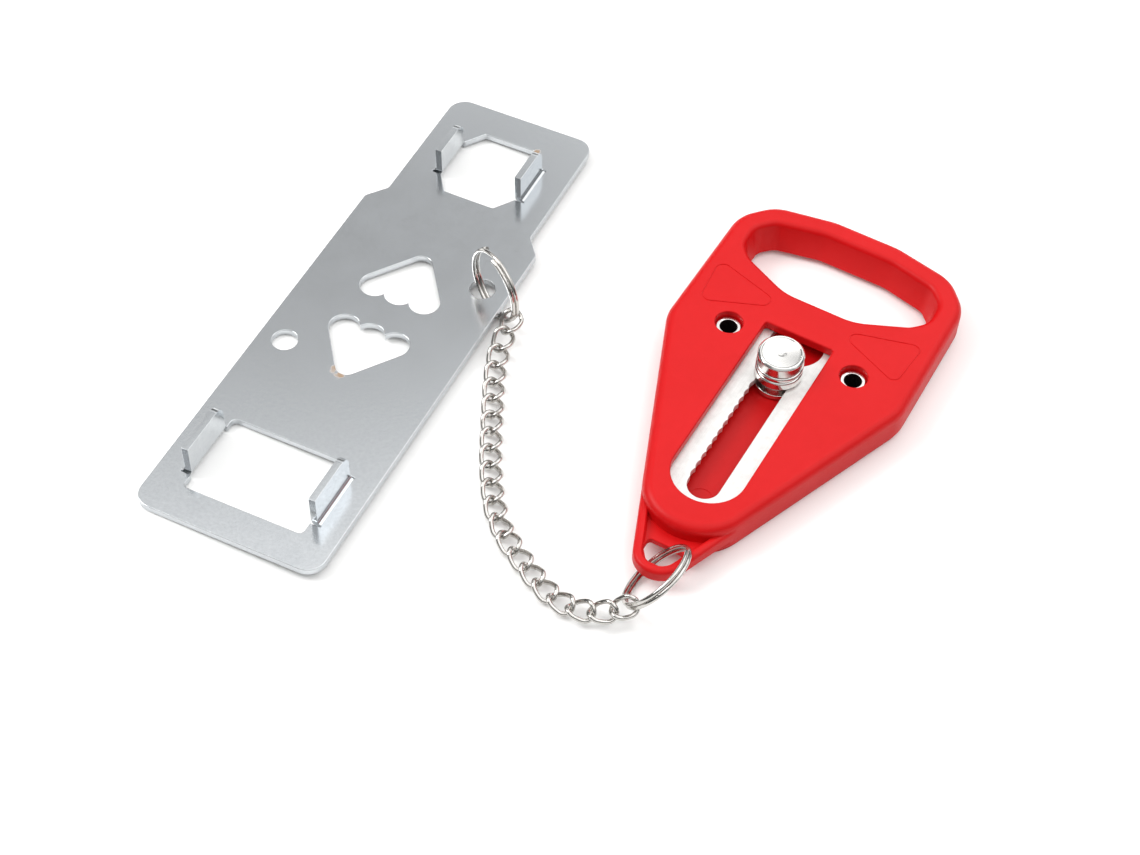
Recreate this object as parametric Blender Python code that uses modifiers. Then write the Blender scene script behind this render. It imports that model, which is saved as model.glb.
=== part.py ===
"""Portable door lock: a steel strike plate chained to a moulded grip with a sliding locking knob.

The plate lies on its left edge, because the split ring through its side hole passes under its right
edge. Everything else follows from it in order: the ring, the chain link by link, the second ring, the
grip on that ring, and the knob in the grip. Lengths are in metres and angles in degrees.
"""
import math

import bmesh
import bpy
from mathutils import Matrix, Vector

OBJECT_NAME = "portable_door_lock"

# Clearances shared by all the pieces
TOUCH_GAP = 0.0003
METAL_GAP = 0.0002
OVERRUN = 0.0010
WELD_DISTANCE = 0.000001
FLAT_ANGLE = math.radians(0.1)
SHARP_ANGLE = math.radians(35.0)

# Fineness of round stretches
TURNED_STEPS = 24
CORNER_STEPS = 3
TIP_STEPS = 10
END_STEPS = 12
FILLET_STEPS = 2

# Strike plate, measured from its wide end and its centreline
PLATE_LENGTH = 0.1320
PLATE_WIDTH = 0.0420
SHOULDER_STEP = 0.0035
PLATE_NARROW_WIDTH = PLATE_WIDTH - 2.0 * SHOULDER_STEP
PLATE_SHEET = 0.0015
PLATE_CORNER_RADIUS = 0.0040
NARROW_END_LENGTH = 0.0370
SHOULDER_START = PLATE_LENGTH - NARROW_END_LENGTH
SHOULDER_RUN = 0.0043
SHOULDER_RADIUS = 0.0015
PLATE_TILT = 2.1

WIDE_OPENING_START = 0.0075
WIDE_OPENING_END = 0.0270
WIDE_OPENING_BORDER = 0.0074
WIDE_OPENING_WIDTH = PLATE_WIDTH - 2.0 * WIDE_OPENING_BORDER
WIDE_OPENING_RADIUS = 0.0012
WIDE_TAB_START = 0.0110
WIDE_TAB_END = 0.0240
WIDE_TAB_HEIGHT = 0.0087

NARROW_OPENING_LENGTH = 0.0202
NARROW_OPENING_MARGIN = 0.0080
NARROW_OPENING_BORDER = 0.0085
NARROW_OPENING_TAPER = 0.0030
NARROW_OPENING_END = PLATE_LENGTH - NARROW_OPENING_MARGIN
NARROW_OPENING_START = NARROW_OPENING_END - NARROW_OPENING_LENGTH
NARROW_OPENING_WIDTH = PLATE_NARROW_WIDTH - 2.0 * NARROW_OPENING_BORDER
NARROW_OPENING_END_WIDTH = NARROW_OPENING_WIDTH - 2.0 * NARROW_OPENING_TAPER
NARROW_OPENING_CHAMFER = 0.0042
NARROW_OPENING_RADIUS = 0.0004
NARROW_TAB_SETBACK = 0.0048
NARROW_TAB_LENGTH = 0.0105
NARROW_TAB_START = NARROW_OPENING_START + NARROW_TAB_SETBACK
NARROW_TAB_END = NARROW_TAB_START + NARROW_TAB_LENGTH
NARROW_TAB_HEIGHT = 0.0080

TAB_BEND_RADIUS = 0.0008
TAB_CORNER_RADIUS = 0.0026
TAB_RELIEF = 0.0004
TAB_ROOT = 0.0008

HEARTS_SHARE = 0.497
HEARTS_MIDDLE = HEARTS_SHARE * PLATE_LENGTH
HEARTS_GAP = 0.0068
HEART_LENGTH = 0.0151
HEART_LOBE_PITCH = 0.0059
HEART_LOBE_RADIUS = 0.0033
HEART_APEX_RADIUS = 0.0025

PLATE_HOLE_DIAMETER = 0.0055
PLATE_HOLE_BORDER = 0.0059
PLATE_HOLE_SIDE = PLATE_WIDTH / 2.0 - PLATE_HOLE_BORDER
PLATE_HOLE_ALONG = 0.0156

# Split rings: two coils of wire, with a clear gap between them
RING_MEAN_RADIUS = 0.00795
RING_WIRE_RADIUS = 0.00045
RING_COIL_GAP = 0.00042
RING_TURNS = 1.9
RING_STEPS_PER_TURN = 24
RING_GROUND_GAP = 0.00005
RING_HOOK_GAP = 0.0003

PLATE_RING_AZIMUTH = 150.0
PLATE_RING_LEAN = 0.0
PLATE_RING_HOOK = -150.0
PLATE_RING_ENDS = 90.0
GRIP_RING_AZIMUTH = 87.0
GRIP_RING_LEAN = -40.0
GRIP_RING_HOOK = -155.0
GRIP_RING_ENDS = 60.0
GRIP_RING_SIDE = -0.0007
GRIP_RING_ALONG = -0.0579
GRIP_RING_HEIGHT = 0.0032

# Curb chain
LINK_WIRE_RADIUS = 0.0005
LINK_LENGTH = 0.00545
LINK_WIDTH = 0.00395
LINK_TWIST = 90.0
LINK_WIRE_GAP = 0.0001
LINK_END_STEPS = 10
LINK_HEADINGS = (
    -91, -81, -73, -68, -66, -65, -65, -65, -63, -61, -58,
    -53, -45, -36, -32, -31, -26, -11, 6, 23, 40,
)
LINK_CLIMBS = {1: -21, 2: -13, 3: -6, 4: -3, 18: 4, 19: 8, 20: 12, 21: 16}
LINK_ROLLS = {7: 12, 13: -12, 14: 8, 18: 6, 19: 12, 20: 19, 21: 25}

# Grip, measured from its rivet line towards the finger opening
GRIP_AZIMUTH = 86.87
GRIP_BOTTOM = 0.0010
GRIP_TOP = 0.0085
GRIP_HALF_WIDTH = 0.0270
GRIP_WIDEST_ALONG = -0.0034
GRIP_SIDE_RADIUS = 0.0100
TIP_CENTRE = -0.0575
TIP_RADIUS = 0.0055
GRIP_SIDE_LEAN = 0.0003
GRIP_BROW_INSET = 0.0061
GRIP_SHOULDER_SIDE = GRIP_HALF_WIDTH - GRIP_SIDE_LEAN
GRIP_SHOULDER_ALONG = 0.0295
GRIP_BROW_SIDE = GRIP_HALF_WIDTH - GRIP_BROW_INSET
GRIP_BROW_ALONG = 0.0360
GRIP_CREST_SIDE = 0.0075
GRIP_CREST_ALONG = 0.0387
GRIP_BROW_RADIUS = 0.0060
GRIP_CREST_RADIUS = 0.0150
GRIP_TOP_FILLET = 0.0020
GRIP_BOTTOM_FILLET = 0.0008

# Raised body over the lanyard loop, and the loop itself
BODY_TIP_RADIUS = 0.0116
LOOP_TOP = 0.0060
LOOP_BOTTOM = 0.0030
LOOP_RAIL = 0.0019
LOOP_FLOOR = 0.0045
LOOP_HOLE_NEAR = -0.0550
LOOP_HOLE_FAR = -0.0600
LOOP_HOLE_HALF_WIDTH = 0.0038
LOOP_HOLE_RADIUS = 0.0016

# Finger opening
FINGER_NEAR = 0.0140
FINGER_NEAR_SIDE = 0.0080
FINGER_WALL = 0.0055
FINGER_HALF_WIDTH = GRIP_HALF_WIDTH - FINGER_WALL
FINGER_FLANK_INSET = 0.0029
FINGER_FLANK_SIDE = FINGER_HALF_WIDTH - FINGER_FLANK_INSET
FINGER_FLANK_ALONG = 0.0189
FINGER_SIDE_START = 0.0220
FINGER_SIDE_END = 0.0275
FINGER_BROW_INSET = 0.0033
FINGER_BROW_SIDE = FINGER_HALF_WIDTH - FINGER_BROW_INSET
FINGER_BROW_ALONG = 0.0310
FINGER_FAR_SIDE = 0.0078
FINGER_FAR = 0.0334
FINGER_CORNER_RADIUS = 0.0024
FINGER_NEAR_RADIUS = 0.0120
FINGER_TOP_FILLET = 0.0014
FINGER_BOTTOM_FILLET = 0.0006

# Window over the slot plate, and the decorative triangles beside the finger opening
WINDOW_HALF_WIDTH = 0.00775
WINDOW_END = 0.0042
WINDOW_ROUND_CENTRE = -0.03725
WINDOW_CORNER_RADIUS = 0.0006
WINDOW_FILLET = 0.0004
TRIANGLE_CORNERS = ((0.0031, 0.0150), (0.0215, 0.0096), (0.0043, 0.0020))
TRIANGLE_RADIUS = 0.0012
TRIANGLE_LINE = 0.0003
TRIANGLE_DEPTH = 0.00015

# Hollow of the grip and the cover that closes it
SHELL_WALL = 0.0022
POCKET_CEILING = 0.0065
POCKET_CORNER_RADIUS = 0.0020
COVER_FLANGE_TOP = 0.0007
COVER_FLANGE_INSET = 0.0006
COVER_RIM_TOP = 0.0044
COVER_RIM = 0.0016
COVER_RAIL = 0.0016
COVER_TRAY_FLOOR = 0.0016
CHANNEL_FLOOR = 0.00305
EJECTOR_MARK_RADIUS = 0.0024
EJECTOR_MARK_DEPTH = 0.00012
EJECTOR_MARK_ALONG = -0.0402

# Slot plate
SLOT_PLATE_BOTTOM = 0.0047
SLOT_PLATE_TOP = 0.0062
SLOT_PLATE_HALF_WIDTH = 0.0090
SLOT_PLATE_END = 0.0113
SLOT_PLATE_CORNER_RADIUS = 0.0010
SLOT_HALF_WIDTH = 0.0034
SLOT_ROUND_CENTRE = -0.03925
KEYHOLE_CENTRE = 0.0035
KEYHOLE_RADIUS = 0.00585
SCALLOP_PITCH = 0.0024
SCALLOP_DEPTH = 0.00035
SCALLOP_COUNT = 12
SCALLOP_START = -0.0098
SCALLOP_STEPS = 3

# Eyelet rivets
RIVET_SIDE = 0.0143
RIVET_BORE_RADIUS = 0.00185
RIVET_BARREL_RADIUS = 0.00220
RIVET_FLANGE_RADIUS = 0.00260
RIVET_FLANGE = 0.0004
RIVET_BOSS_RADIUS = 0.0042
COUNTERBORE_RADIUS = 0.00295
COUNTERBORE_FLOOR = 0.0065
COVER_COUNTERBORE = 0.0011

# Sliding knob
KNOB_REST = -0.0055
BUSH_RADIUS = 0.00495
BUSH_TOP = 0.0085
NECK_RADIUS = 0.00315
FOOT_RADIUS = 0.0048
FOOT_BOTTOM = 0.0034
FOOT_TOP = 0.0045
BUSH_EDGE = 0.0003
SPRING_CHAMBER_RADIUS = 0.0023
SPRING_CHAMBER_TOP = 0.0071
LEDGE_TOP = 0.0078
WASHER_BOTTOM = 0.0087
WASHER_TOP = 0.0099
CAP_RADIUS = 0.0049
CAP_BOTTOM = 0.0101
CAP_TOP = 0.0129
CAP_EDGE = 0.00045
CAP_DISH_RADIUS = 0.0040
CAP_DISH_DEPTH = 0.00035
CAP_DIMPLE_RADIUS = 0.0009
CAP_DIMPLE_DEPTH = 0.00015
BOSS_RADIUS = 0.0027
BOSS_BOTTOM = 0.0081
STEM_RADIUS = 0.0011
STEM_BOTTOM = 0.00345
STEM_TOP = 0.0111
COLLAR_RADIUS = 0.0021
COLLAR_TOP = 0.00395
SPRING_WIRE_RADIUS = 0.000175
SPRING_MEAN_RADIUS = 0.0017
SPRING_TURNS = 3
SPRING_STEPS_PER_TURN = 10
SPRING_END_GAP = 0.0001

# Colours as linear values
ZINC = (0.56, 0.59, 0.61, 1.0)
NICKEL = (0.66, 0.65, 0.63, 1.0)
RED = (0.76, 0.02, 0.025, 1.0)


# Scene, materials and object helpers

def clear_scene():
    """Remove every object and the collections that held them."""
    for obj in list(bpy.data.objects):
        bpy.data.objects.remove(obj, do_unlink=True)
    for collection in list(bpy.data.collections):
        bpy.data.collections.remove(collection)


def new_collection(name):
    """Make a collection in the scene."""
    collection = bpy.data.collections.new(name)
    bpy.context.scene.collection.children.link(collection)
    return collection


def new_material(name, colour, roughness, metallic):
    """Make a plain surface from a colour, a roughness and a metallic value."""
    material = bpy.data.materials.new(name)
    material.use_nodes = True
    shader = material.node_tree.nodes["Principled BSDF"]
    shader.inputs["Base Color"].default_value = colour
    shader.inputs["Roughness"].default_value = roughness
    shader.inputs["Metallic"].default_value = metallic
    material.diffuse_color = colour
    return material


def new_empty(name, matrix, parent=None):
    """Make an empty that marks a body, with its origin on the body's joint."""
    empty = bpy.data.objects.new(name, None)
    empty.empty_display_size = RING_MEAN_RADIUS
    PARTS.objects.link(empty)
    empty.parent = parent
    empty.matrix_world = matrix
    return empty


def new_object(name, mesh, collection):
    """Put a mesh into the scene as an object."""
    obj = bpy.data.objects.new(name, mesh)
    collection.objects.link(obj)
    return obj


def finish_part(obj, material, body):
    """Give a piece its material and its place on a body, whose frame its mesh is drawn in."""
    obj.data.materials.clear()
    obj.data.materials.append(material)
    obj.parent = body
    obj.matrix_parent_inverse = Matrix.Identity(4)
    obj.matrix_basis = Matrix.Identity(4)
    obj.data.shade_smooth()
    obj.data.set_sharp_from_angle(angle=SHARP_ANGLE)
    return obj


def as_mesh_object(curve_object, collection):
    """Turn a curve object into a closed mesh object of the same name and place."""
    bpy.context.view_layer.update()
    depsgraph = bpy.context.evaluated_depsgraph_get()
    mesh = bpy.data.meshes.new_from_object(curve_object.evaluated_get(depsgraph))
    name = curve_object.name
    matrix = curve_object.matrix_world.copy()
    bpy.data.objects.remove(curve_object, do_unlink=True)
    work = bmesh.new()
    work.from_mesh(mesh)
    bmesh.ops.remove_doubles(work, verts=work.verts, dist=WELD_DISTANCE)
    bmesh.ops.recalc_face_normals(work, faces=work.faces)
    work.to_mesh(mesh)
    work.free()
    mesh.name = name
    obj = new_object(name, mesh, collection)
    obj.matrix_world = matrix
    return obj


# Outlines in the XY plane, all counterclockwise

def polar(centre, radius, degrees):
    """A point at a distance and an angle from a centre."""
    angle = math.radians(degrees)
    return (centre[0] + radius * math.cos(angle), centre[1] + radius * math.sin(angle))


def arc(centre, radius, start, end, steps):
    """Points of an arc, both ends included."""
    return [polar(centre, radius, start + (end - start) * step / steps) for step in range(steps + 1)]


def offset_corner(before, corner, after, inset):
    """Move a corner of a counterclockwise outline inwards, keeping both its sides parallel."""
    first = (Vector(corner) - Vector(before)).normalized()
    second = (Vector(after) - Vector(corner)).normalized()
    first_normal = Vector((-first.y, first.x))
    second_normal = Vector((-second.y, second.x))
    bisector = first_normal + second_normal
    reach = 2.0 * inset / bisector.length_squared
    return Vector(corner) + bisector * reach, first, second


def rounded_outline(corners, inset=0.0):
    """Round each (x, y, radius) or (x, y, radius, steps) corner of an outline drawn in by an inset.

    A corner with no radius stays sharp.
    """
    places = [corner[:2] for corner in corners]
    count = len(corners)
    points = []
    for index, corner in enumerate(corners):
        moved, first, second = offset_corner(
            places[index - 1], places[index], places[(index + 1) % count], inset)
        if not corner[2]:
            points.append((moved.x, moved.y))
            continue
        turn = math.atan2(first.cross(second), first.dot(second))
        bend = 1.0 if turn > 0.0 else -1.0
        radius = corner[2] - bend * inset
        setback = radius * math.tan(abs(turn) / 2.0)
        start = moved - first * setback
        normal = Vector((-first.y, first.x)) * bend
        centre = start + normal * radius
        spoke = start - centre
        steps = corner[3] if len(corner) > 3 else CORNER_STEPS
        for step in range(steps + 1):
            swing = Matrix.Rotation(turn * step / steps, 2)
            point = centre + swing @ spoke
            points.append((point.x, point.y))
    return points


def mirrored(corners):
    """Complete the right half of a symmetric outline with its mirror image."""
    left = [(-corner[0],) + tuple(corner[1:]) for corner in reversed(corners) if corner[0] > 0.0]
    return list(corners) + left


def circle(x, y, radius, steps=TURNED_STEPS):
    """Points round a circle."""
    return arc((x, y), radius, 0.0, 360.0 * (steps - 1) / steps, steps - 1)


def slot_outline(half_width, round_centre, end, corner_radius, outset=0.0):
    """A slot with one round end and one square end with small corner arcs."""
    half = half_width + outset
    top = end + outset
    radius = corner_radius + outset
    points = arc((0.0, round_centre), half, 180.0, 360.0, END_STEPS)
    points += arc((half - radius, top - radius), radius, 0.0, 90.0, CORNER_STEPS)
    points += arc((radius - half, top - radius), radius, 90.0, 180.0, CORNER_STEPS)
    return points


# Solids

def flat_solid(name, outlines, bottom, top, collection):
    """A flat piece from an outline and the outlines of its holes."""
    curve = bpy.data.curves.new(name, "CURVE")
    curve.dimensions = "2D"
    curve.fill_mode = "BOTH"
    curve.extrude = (top - bottom) / 2.0
    for outline in outlines:
        spline = curve.splines.new("POLY")
        spline.points.add(len(outline) - 1)
        for point, (x, y) in zip(spline.points, outline):
            point.co = (x, y, 0.0, 1.0)
        spline.use_cyclic_u = True
    obj = bpy.data.objects.new(name, curve)
    collection.objects.link(obj)
    obj.location.z = (top + bottom) / 2.0
    solid = as_mesh_object(obj, collection)
    solid.data.transform(solid.matrix_world)
    solid.matrix_world = Matrix.Identity(4)
    work = bmesh.new()
    work.from_mesh(solid.data)
    bmesh.ops.dissolve_limit(work, angle_limit=FLAT_ANGLE, verts=work.verts, edges=work.edges)
    work.to_mesh(solid.data)
    work.free()
    return solid


def loft(name, sections, collection):
    """A closed solid through sections with one count of points each, listed from low to high."""
    work = bmesh.new()
    rows = [[work.verts.new(point) for point in section] for section in sections]
    count = len(rows[0])
    for low, high in zip(rows, rows[1:]):
        for index in range(count):
            after = (index + 1) % count
            work.faces.new((low[index], low[after], high[after], high[index]))
    work.faces.new(list(reversed(rows[0])))
    work.faces.new(rows[-1])
    bmesh.ops.recalc_face_normals(work, faces=work.faces)
    mesh = bpy.data.meshes.new(name)
    work.to_mesh(mesh)
    work.free()
    return new_object(name, mesh, collection)


def at_height(outline, z):
    """Lift a flat outline to a height."""
    return [(x, y, z) for x, y in outline]


def fillet_levels(edge, radius, direction):
    """Heights and insets of a rounded edge, from the wall to the face at height edge."""
    levels = []
    for step in range(FILLET_STEPS + 1):
        angle = math.pi / 2.0 * step / FILLET_STEPS
        height = edge - direction * radius * (1.0 - math.sin(angle))
        levels.append((height, radius * (1.0 - math.cos(angle))))
    return levels


def turned(name, profile, collection, closed=False):
    """A turned solid; the profile of (radius, height) runs down its outer side."""
    mesh = bpy.data.meshes.new(name)
    edges = [(index, index + 1) for index in range(len(profile) - 1)]
    if closed:
        edges.append((len(profile) - 1, 0))
    mesh.from_pydata([(radius, 0.0, height) for radius, height in profile], edges, [])
    obj = new_object(name, mesh, collection)
    screw = obj.modifiers.new("turn", "SCREW")
    screw.axis = "Z"
    screw.steps = TURNED_STEPS
    screw.render_steps = TURNED_STEPS
    screw.use_merge_vertices = True
    screw.merge_threshold = WELD_DISTANCE
    return obj


def wire_tube(name, points, radius, collection, cyclic=False):
    """A wire of round section along points."""
    curve = bpy.data.curves.new(name, "CURVE")
    curve.dimensions = "3D"
    curve.bevel_depth = radius
    curve.bevel_resolution = 1
    curve.use_fill_caps = True
    spline = curve.splines.new("POLY")
    spline.points.add(len(points) - 1)
    for point, place in zip(spline.points, points):
        point.co = (*place, 1.0)
    spline.use_cyclic_u = cyclic
    obj = bpy.data.objects.new(name, curve)
    collection.objects.link(obj)
    return as_mesh_object(obj, collection)


def boolean(obj, other, operation):
    """Cut another solid from a piece or join it on, and hide the other as a construction solid."""
    modifier = obj.modifiers.new(f"{operation.lower()} {other.name}", "BOOLEAN")
    modifier.operation = operation
    modifier.object = other
    modifier.solver = "EXACT"
    other.hide_render = True
    other.display_type = "WIRE"


def cut(obj, cutter):
    """Cut a solid from a piece."""
    boolean(obj, cutter, "DIFFERENCE")


def join(obj, addition):
    """Join a solid to a piece."""
    boolean(obj, addition, "UNION")


def set_on(cutters, body):
    """Carry construction solids on the same body as the piece that they shape."""
    for cutter in cutters:
        if cutter.parent is None:
            cutter.parent = body
            cutter.matrix_parent_inverse = Matrix.Identity(4)


# Strike plate

def plate_outline():
    """Outer edge of the strike plate, with the shoulders where it narrows."""
    half = PLATE_WIDTH / 2.0
    narrow = PLATE_NARROW_WIDTH / 2.0
    return rounded_outline(mirrored([
        (half, 0.0, PLATE_CORNER_RADIUS),
        (half, SHOULDER_START, SHOULDER_RADIUS),
        (narrow, SHOULDER_START + SHOULDER_RUN, SHOULDER_RADIUS),
        (narrow, PLATE_LENGTH, PLATE_CORNER_RADIUS),
    ]))


def opening_with_tabs(corners_before, corners_after, half_width, tab_start, tab_end):
    """An opening whose sides step out by the bend of the tabs that were cut free and bent up."""
    bend = PLATE_SHEET + TAB_BEND_RADIUS
    start = tab_start - TAB_RELIEF
    end = tab_end + TAB_RELIEF
    step_out = [
        (half_width, start, 0.0),
        (half_width + bend, start, 0.0),
        (half_width + bend, end, 0.0),
        (half_width, end, 0.0),
    ]
    return rounded_outline(mirrored(corners_before + step_out + corners_after))


def wide_opening():
    """Near opening of the plate, a rectangle."""
    half = WIDE_OPENING_WIDTH / 2.0
    return opening_with_tabs(
        [(half, WIDE_OPENING_START, WIDE_OPENING_RADIUS)],
        [(half, WIDE_OPENING_END, WIDE_OPENING_RADIUS)],
        half, WIDE_TAB_START, WIDE_TAB_END)


def narrow_opening():
    """Far opening of the plate, with chamfered corners."""
    half = NARROW_OPENING_WIDTH / 2.0
    end_half = NARROW_OPENING_END_WIDTH / 2.0
    near = NARROW_OPENING_START
    far = NARROW_OPENING_END
    return opening_with_tabs(
        [(end_half, near, NARROW_OPENING_RADIUS), (half, near + NARROW_OPENING_CHAMFER, NARROW_OPENING_RADIUS)],
        [(half, far - NARROW_OPENING_CHAMFER, NARROW_OPENING_RADIUS), (end_half, far, NARROW_OPENING_RADIUS)],
        half, NARROW_TAB_START, NARROW_TAB_END)


def heart_outline(flip):
    """A heart with three lobes, its apex turned away from the hearts' middle."""
    lobe_line = HEARTS_GAP / 2.0 + HEART_LOBE_RADIUS
    apex_line = HEARTS_GAP / 2.0 + HEART_LENGTH - HEART_APEX_RADIUS
    half_pitch = HEART_LOBE_PITCH / 2.0
    reach = math.hypot(apex_line - lobe_line, HEART_LOBE_PITCH)
    slope = math.atan2(apex_line - lobe_line, HEART_LOBE_PITCH)
    lean = math.asin((HEART_LOBE_RADIUS - HEART_APEX_RADIUS) / reach)
    flank = math.degrees(math.pi / 2.0 - slope + lean)
    notch = math.degrees(math.acos(half_pitch / HEART_LOBE_RADIUS))
    points = arc((HEART_LOBE_PITCH, lobe_line), HEART_LOBE_RADIUS, -180.0 + notch, flank, 2 * CORNER_STEPS)
    points += arc((0.0, apex_line), HEART_APEX_RADIUS, flank, 180.0 - flank, CORNER_STEPS)
    points += arc((-HEART_LOBE_PITCH, lobe_line), HEART_LOBE_RADIUS, 180.0 - flank, 360.0 - notch, 2 * CORNER_STEPS)
    points += arc((0.0, lobe_line), HEART_LOBE_RADIUS, -180.0 + notch, -notch, CORNER_STEPS)[1:-1]
    if flip:
        points = [(-x, -y) for x, y in points]
    return [(x, y + HEARTS_MIDDLE) for x, y in points]


def tab_solid(name, side, half_width, start, end, height):
    """A tab bent up from the edge of an opening, its top corner rounded on the far side."""
    bend_centre = (half_width + PLATE_SHEET + TAB_BEND_RADIUS, PLATE_SHEET + TAB_BEND_RADIUS)
    straight = height - bend_centre[1]
    stations = [(bend_centre[0] + TAB_ROOT, 0.0, bend_centre[0] + TAB_ROOT, PLATE_SHEET, end)]
    for step in range(CORNER_STEPS + 1):
        angle = math.pi / 2.0 * step / CORNER_STEPS
        outward = Vector((-math.sin(angle), -math.cos(angle)))
        under = Vector(bend_centre) + outward * (TAB_BEND_RADIUS + PLATE_SHEET)
        over = Vector(bend_centre) + outward * TAB_BEND_RADIUS
        stations.append((under.x, under.y, over.x, over.y, end))
    for step in range(CORNER_STEPS + 1):
        angle = math.pi / 2.0 * step / CORNER_STEPS
        z = bend_centre[1] + straight - TAB_CORNER_RADIUS * (1.0 - math.sin(angle))
        far = end - TAB_CORNER_RADIUS * (1.0 - math.cos(angle))
        stations.append((half_width, z, half_width + PLATE_SHEET, z, far))
    sections = []
    for under_x, under_z, over_x, over_z, far in stations:
        sections.append([
            (side * under_x, start, under_z),
            (side * under_x, far, under_z),
            (side * over_x, far, over_z),
            (side * over_x, start, over_z),
        ])
    return loft(name, sections, CUTTERS)


def build_plate(body):
    """The stamped strike plate."""
    hole_radius = PLATE_HOLE_DIAMETER / 2.0
    outlines = [
        plate_outline(),
        wide_opening(),
        narrow_opening(),
        heart_outline(True),
        heart_outline(False),
        circle(PLATE_HOLE_SIDE, HEARTS_MIDDLE + PLATE_HOLE_ALONG, hole_radius),
        circle(-PLATE_HOLE_SIDE, HEARTS_MIDDLE - PLATE_HOLE_ALONG, hole_radius),
    ]
    plate = flat_solid("strike_plate", outlines, 0.0, PLATE_SHEET, PARTS)
    tabs = []
    for side, hand in ((-1.0, "left"), (1.0, "right")):
        tabs.append(tab_solid(
            f"wide_tab_{hand}", side, WIDE_OPENING_WIDTH / 2.0, WIDE_TAB_START, WIDE_TAB_END, WIDE_TAB_HEIGHT))
        tabs.append(tab_solid(
            f"narrow_tab_{hand}", side, NARROW_OPENING_WIDTH / 2.0,
            NARROW_TAB_START, NARROW_TAB_END, NARROW_TAB_HEIGHT))
    for tab in tabs:
        join(plate, tab)
    set_on(tabs, body)
    return finish_part(plate, MATERIALS["plate"], body)


# Split rings

def ring_axes(azimuth, lean):
    """Chord, upward and normal directions of a ring's plane."""
    turn = math.radians(azimuth)
    tip = math.radians(lean)
    chord = Vector((math.cos(turn), math.sin(turn), 0.0))
    across = Vector((-math.sin(turn), math.cos(turn), 0.0))
    upward = Vector((0.0, 0.0, math.cos(tip))) + across * math.sin(tip)
    return chord, upward, chord.cross(upward)


def ring_centre_height(upward, normal):
    """Height of a ring's centre when its wire just clears the ground."""
    coil_shift = ring_coil_pitch() / 2.0 * abs(normal.z)
    return RING_MEAN_RADIUS * upward.z + coil_shift + RING_WIRE_RADIUS + RING_GROUND_GAP


def ring_coil_pitch():
    """Distance from one coil of a ring to the next."""
    return 2.0 * RING_WIRE_RADIUS + RING_COIL_GAP


def ring_point(radius, clock, chord, upward):
    """A place on a circle in the ring's plane, seen from its centre."""
    angle = math.radians(clock)
    return (chord * math.cos(angle) + upward * math.sin(angle)) * radius


def clock_at_height(height, centre_height, upward):
    """Clock angle on the chord's side at which the ring crosses a height."""
    return math.degrees(math.asin((height - centre_height) / (RING_MEAN_RADIUS * upward.z)))


def ring_wire(ends):
    """Points of the two-coil helix, with the split at a clock angle, in the ring's own axes."""
    steps = round(RING_TURNS * RING_STEPS_PER_TURN)
    sweep = 360.0 * RING_TURNS
    points = []
    for step in range(steps + 1):
        share = step / steps
        angle = math.radians(ends + sweep * share)
        axial = ring_coil_pitch() * RING_TURNS * (share - 0.5)
        points.append((RING_MEAN_RADIUS * math.cos(angle), RING_MEAN_RADIUS * math.sin(angle), axial))
    return points


def report_least_gap(name, points, wire_radius, steps_per_turn):
    """Print the least gap between coils, measured on the points one turn apart or nearly so."""
    least = min(
        (Vector(first) - Vector(second)).length
        for index, first in enumerate(points)
        for second in points[index + steps_per_turn // 2:])
    print(f"{name}: least gap between coils {1000.0 * (least - 2.0 * wire_radius):.3f} mm")


def build_ring(name, body, centre, ends):
    """A split ring about a centre given in the body's frame, whose axes are the ring's."""
    points = ring_wire(ends)
    report_least_gap(name, points, RING_WIRE_RADIUS, RING_STEPS_PER_TURN)
    placed = [Vector(point) + centre for point in points]
    ring = wire_tube(name, placed, RING_WIRE_RADIUS, PARTS)
    return finish_part(ring, MATERIALS["chain"], body)


# Chain

def link_pitch():
    """Distance from one hooking place to the next."""
    return LINK_LENGTH - link_overlap()


def link_overlap():
    """Distance between the centres of two wires that hook each other."""
    return 2.0 * LINK_WIRE_RADIUS + LINK_WIRE_GAP


def link_wire():
    """Centreline of a twisted link, from its hooking place at zero along +X."""
    radius = LINK_WIDTH / 2.0
    half = LINK_LENGTH / 2.0
    centre = link_pitch() / 2.0
    flat = arc((half - radius, 0.0), radius, -90.0, 90.0, LINK_END_STEPS)
    flat += [(0.0, radius)]
    flat += arc((radius - half, 0.0), radius, 90.0, 270.0, LINK_END_STEPS)
    flat += [(0.0, -radius)]
    points = []
    for x, y in flat:
        twist = math.radians(LINK_TWIST / 2.0) * x / half
        points.append((centre + x, y * math.cos(twist), y * math.sin(twist)))
    return points


def link_direction(number):
    """Direction that a link points in."""
    heading = math.radians(LINK_HEADINGS[number - 1])
    climb = math.radians(LINK_CLIMBS.get(number, 0))
    return Vector((
        math.cos(heading) * math.cos(climb), math.sin(heading) * math.cos(climb), math.sin(climb)))


def link_matrix(number, joint):
    """Frame of a link: its origin where it hooks the piece before it, +X along it."""
    along = link_direction(number)
    side = Vector((0.0, 0.0, 1.0)).cross(along).normalized()
    up = along.cross(side)
    matrix = Matrix((along, side, up)).transposed().to_4x4()
    roll = Matrix.Rotation(math.radians(LINK_ROLLS.get(number, 0)), 4, "X")
    return Matrix.Translation(joint) @ matrix @ roll


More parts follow.
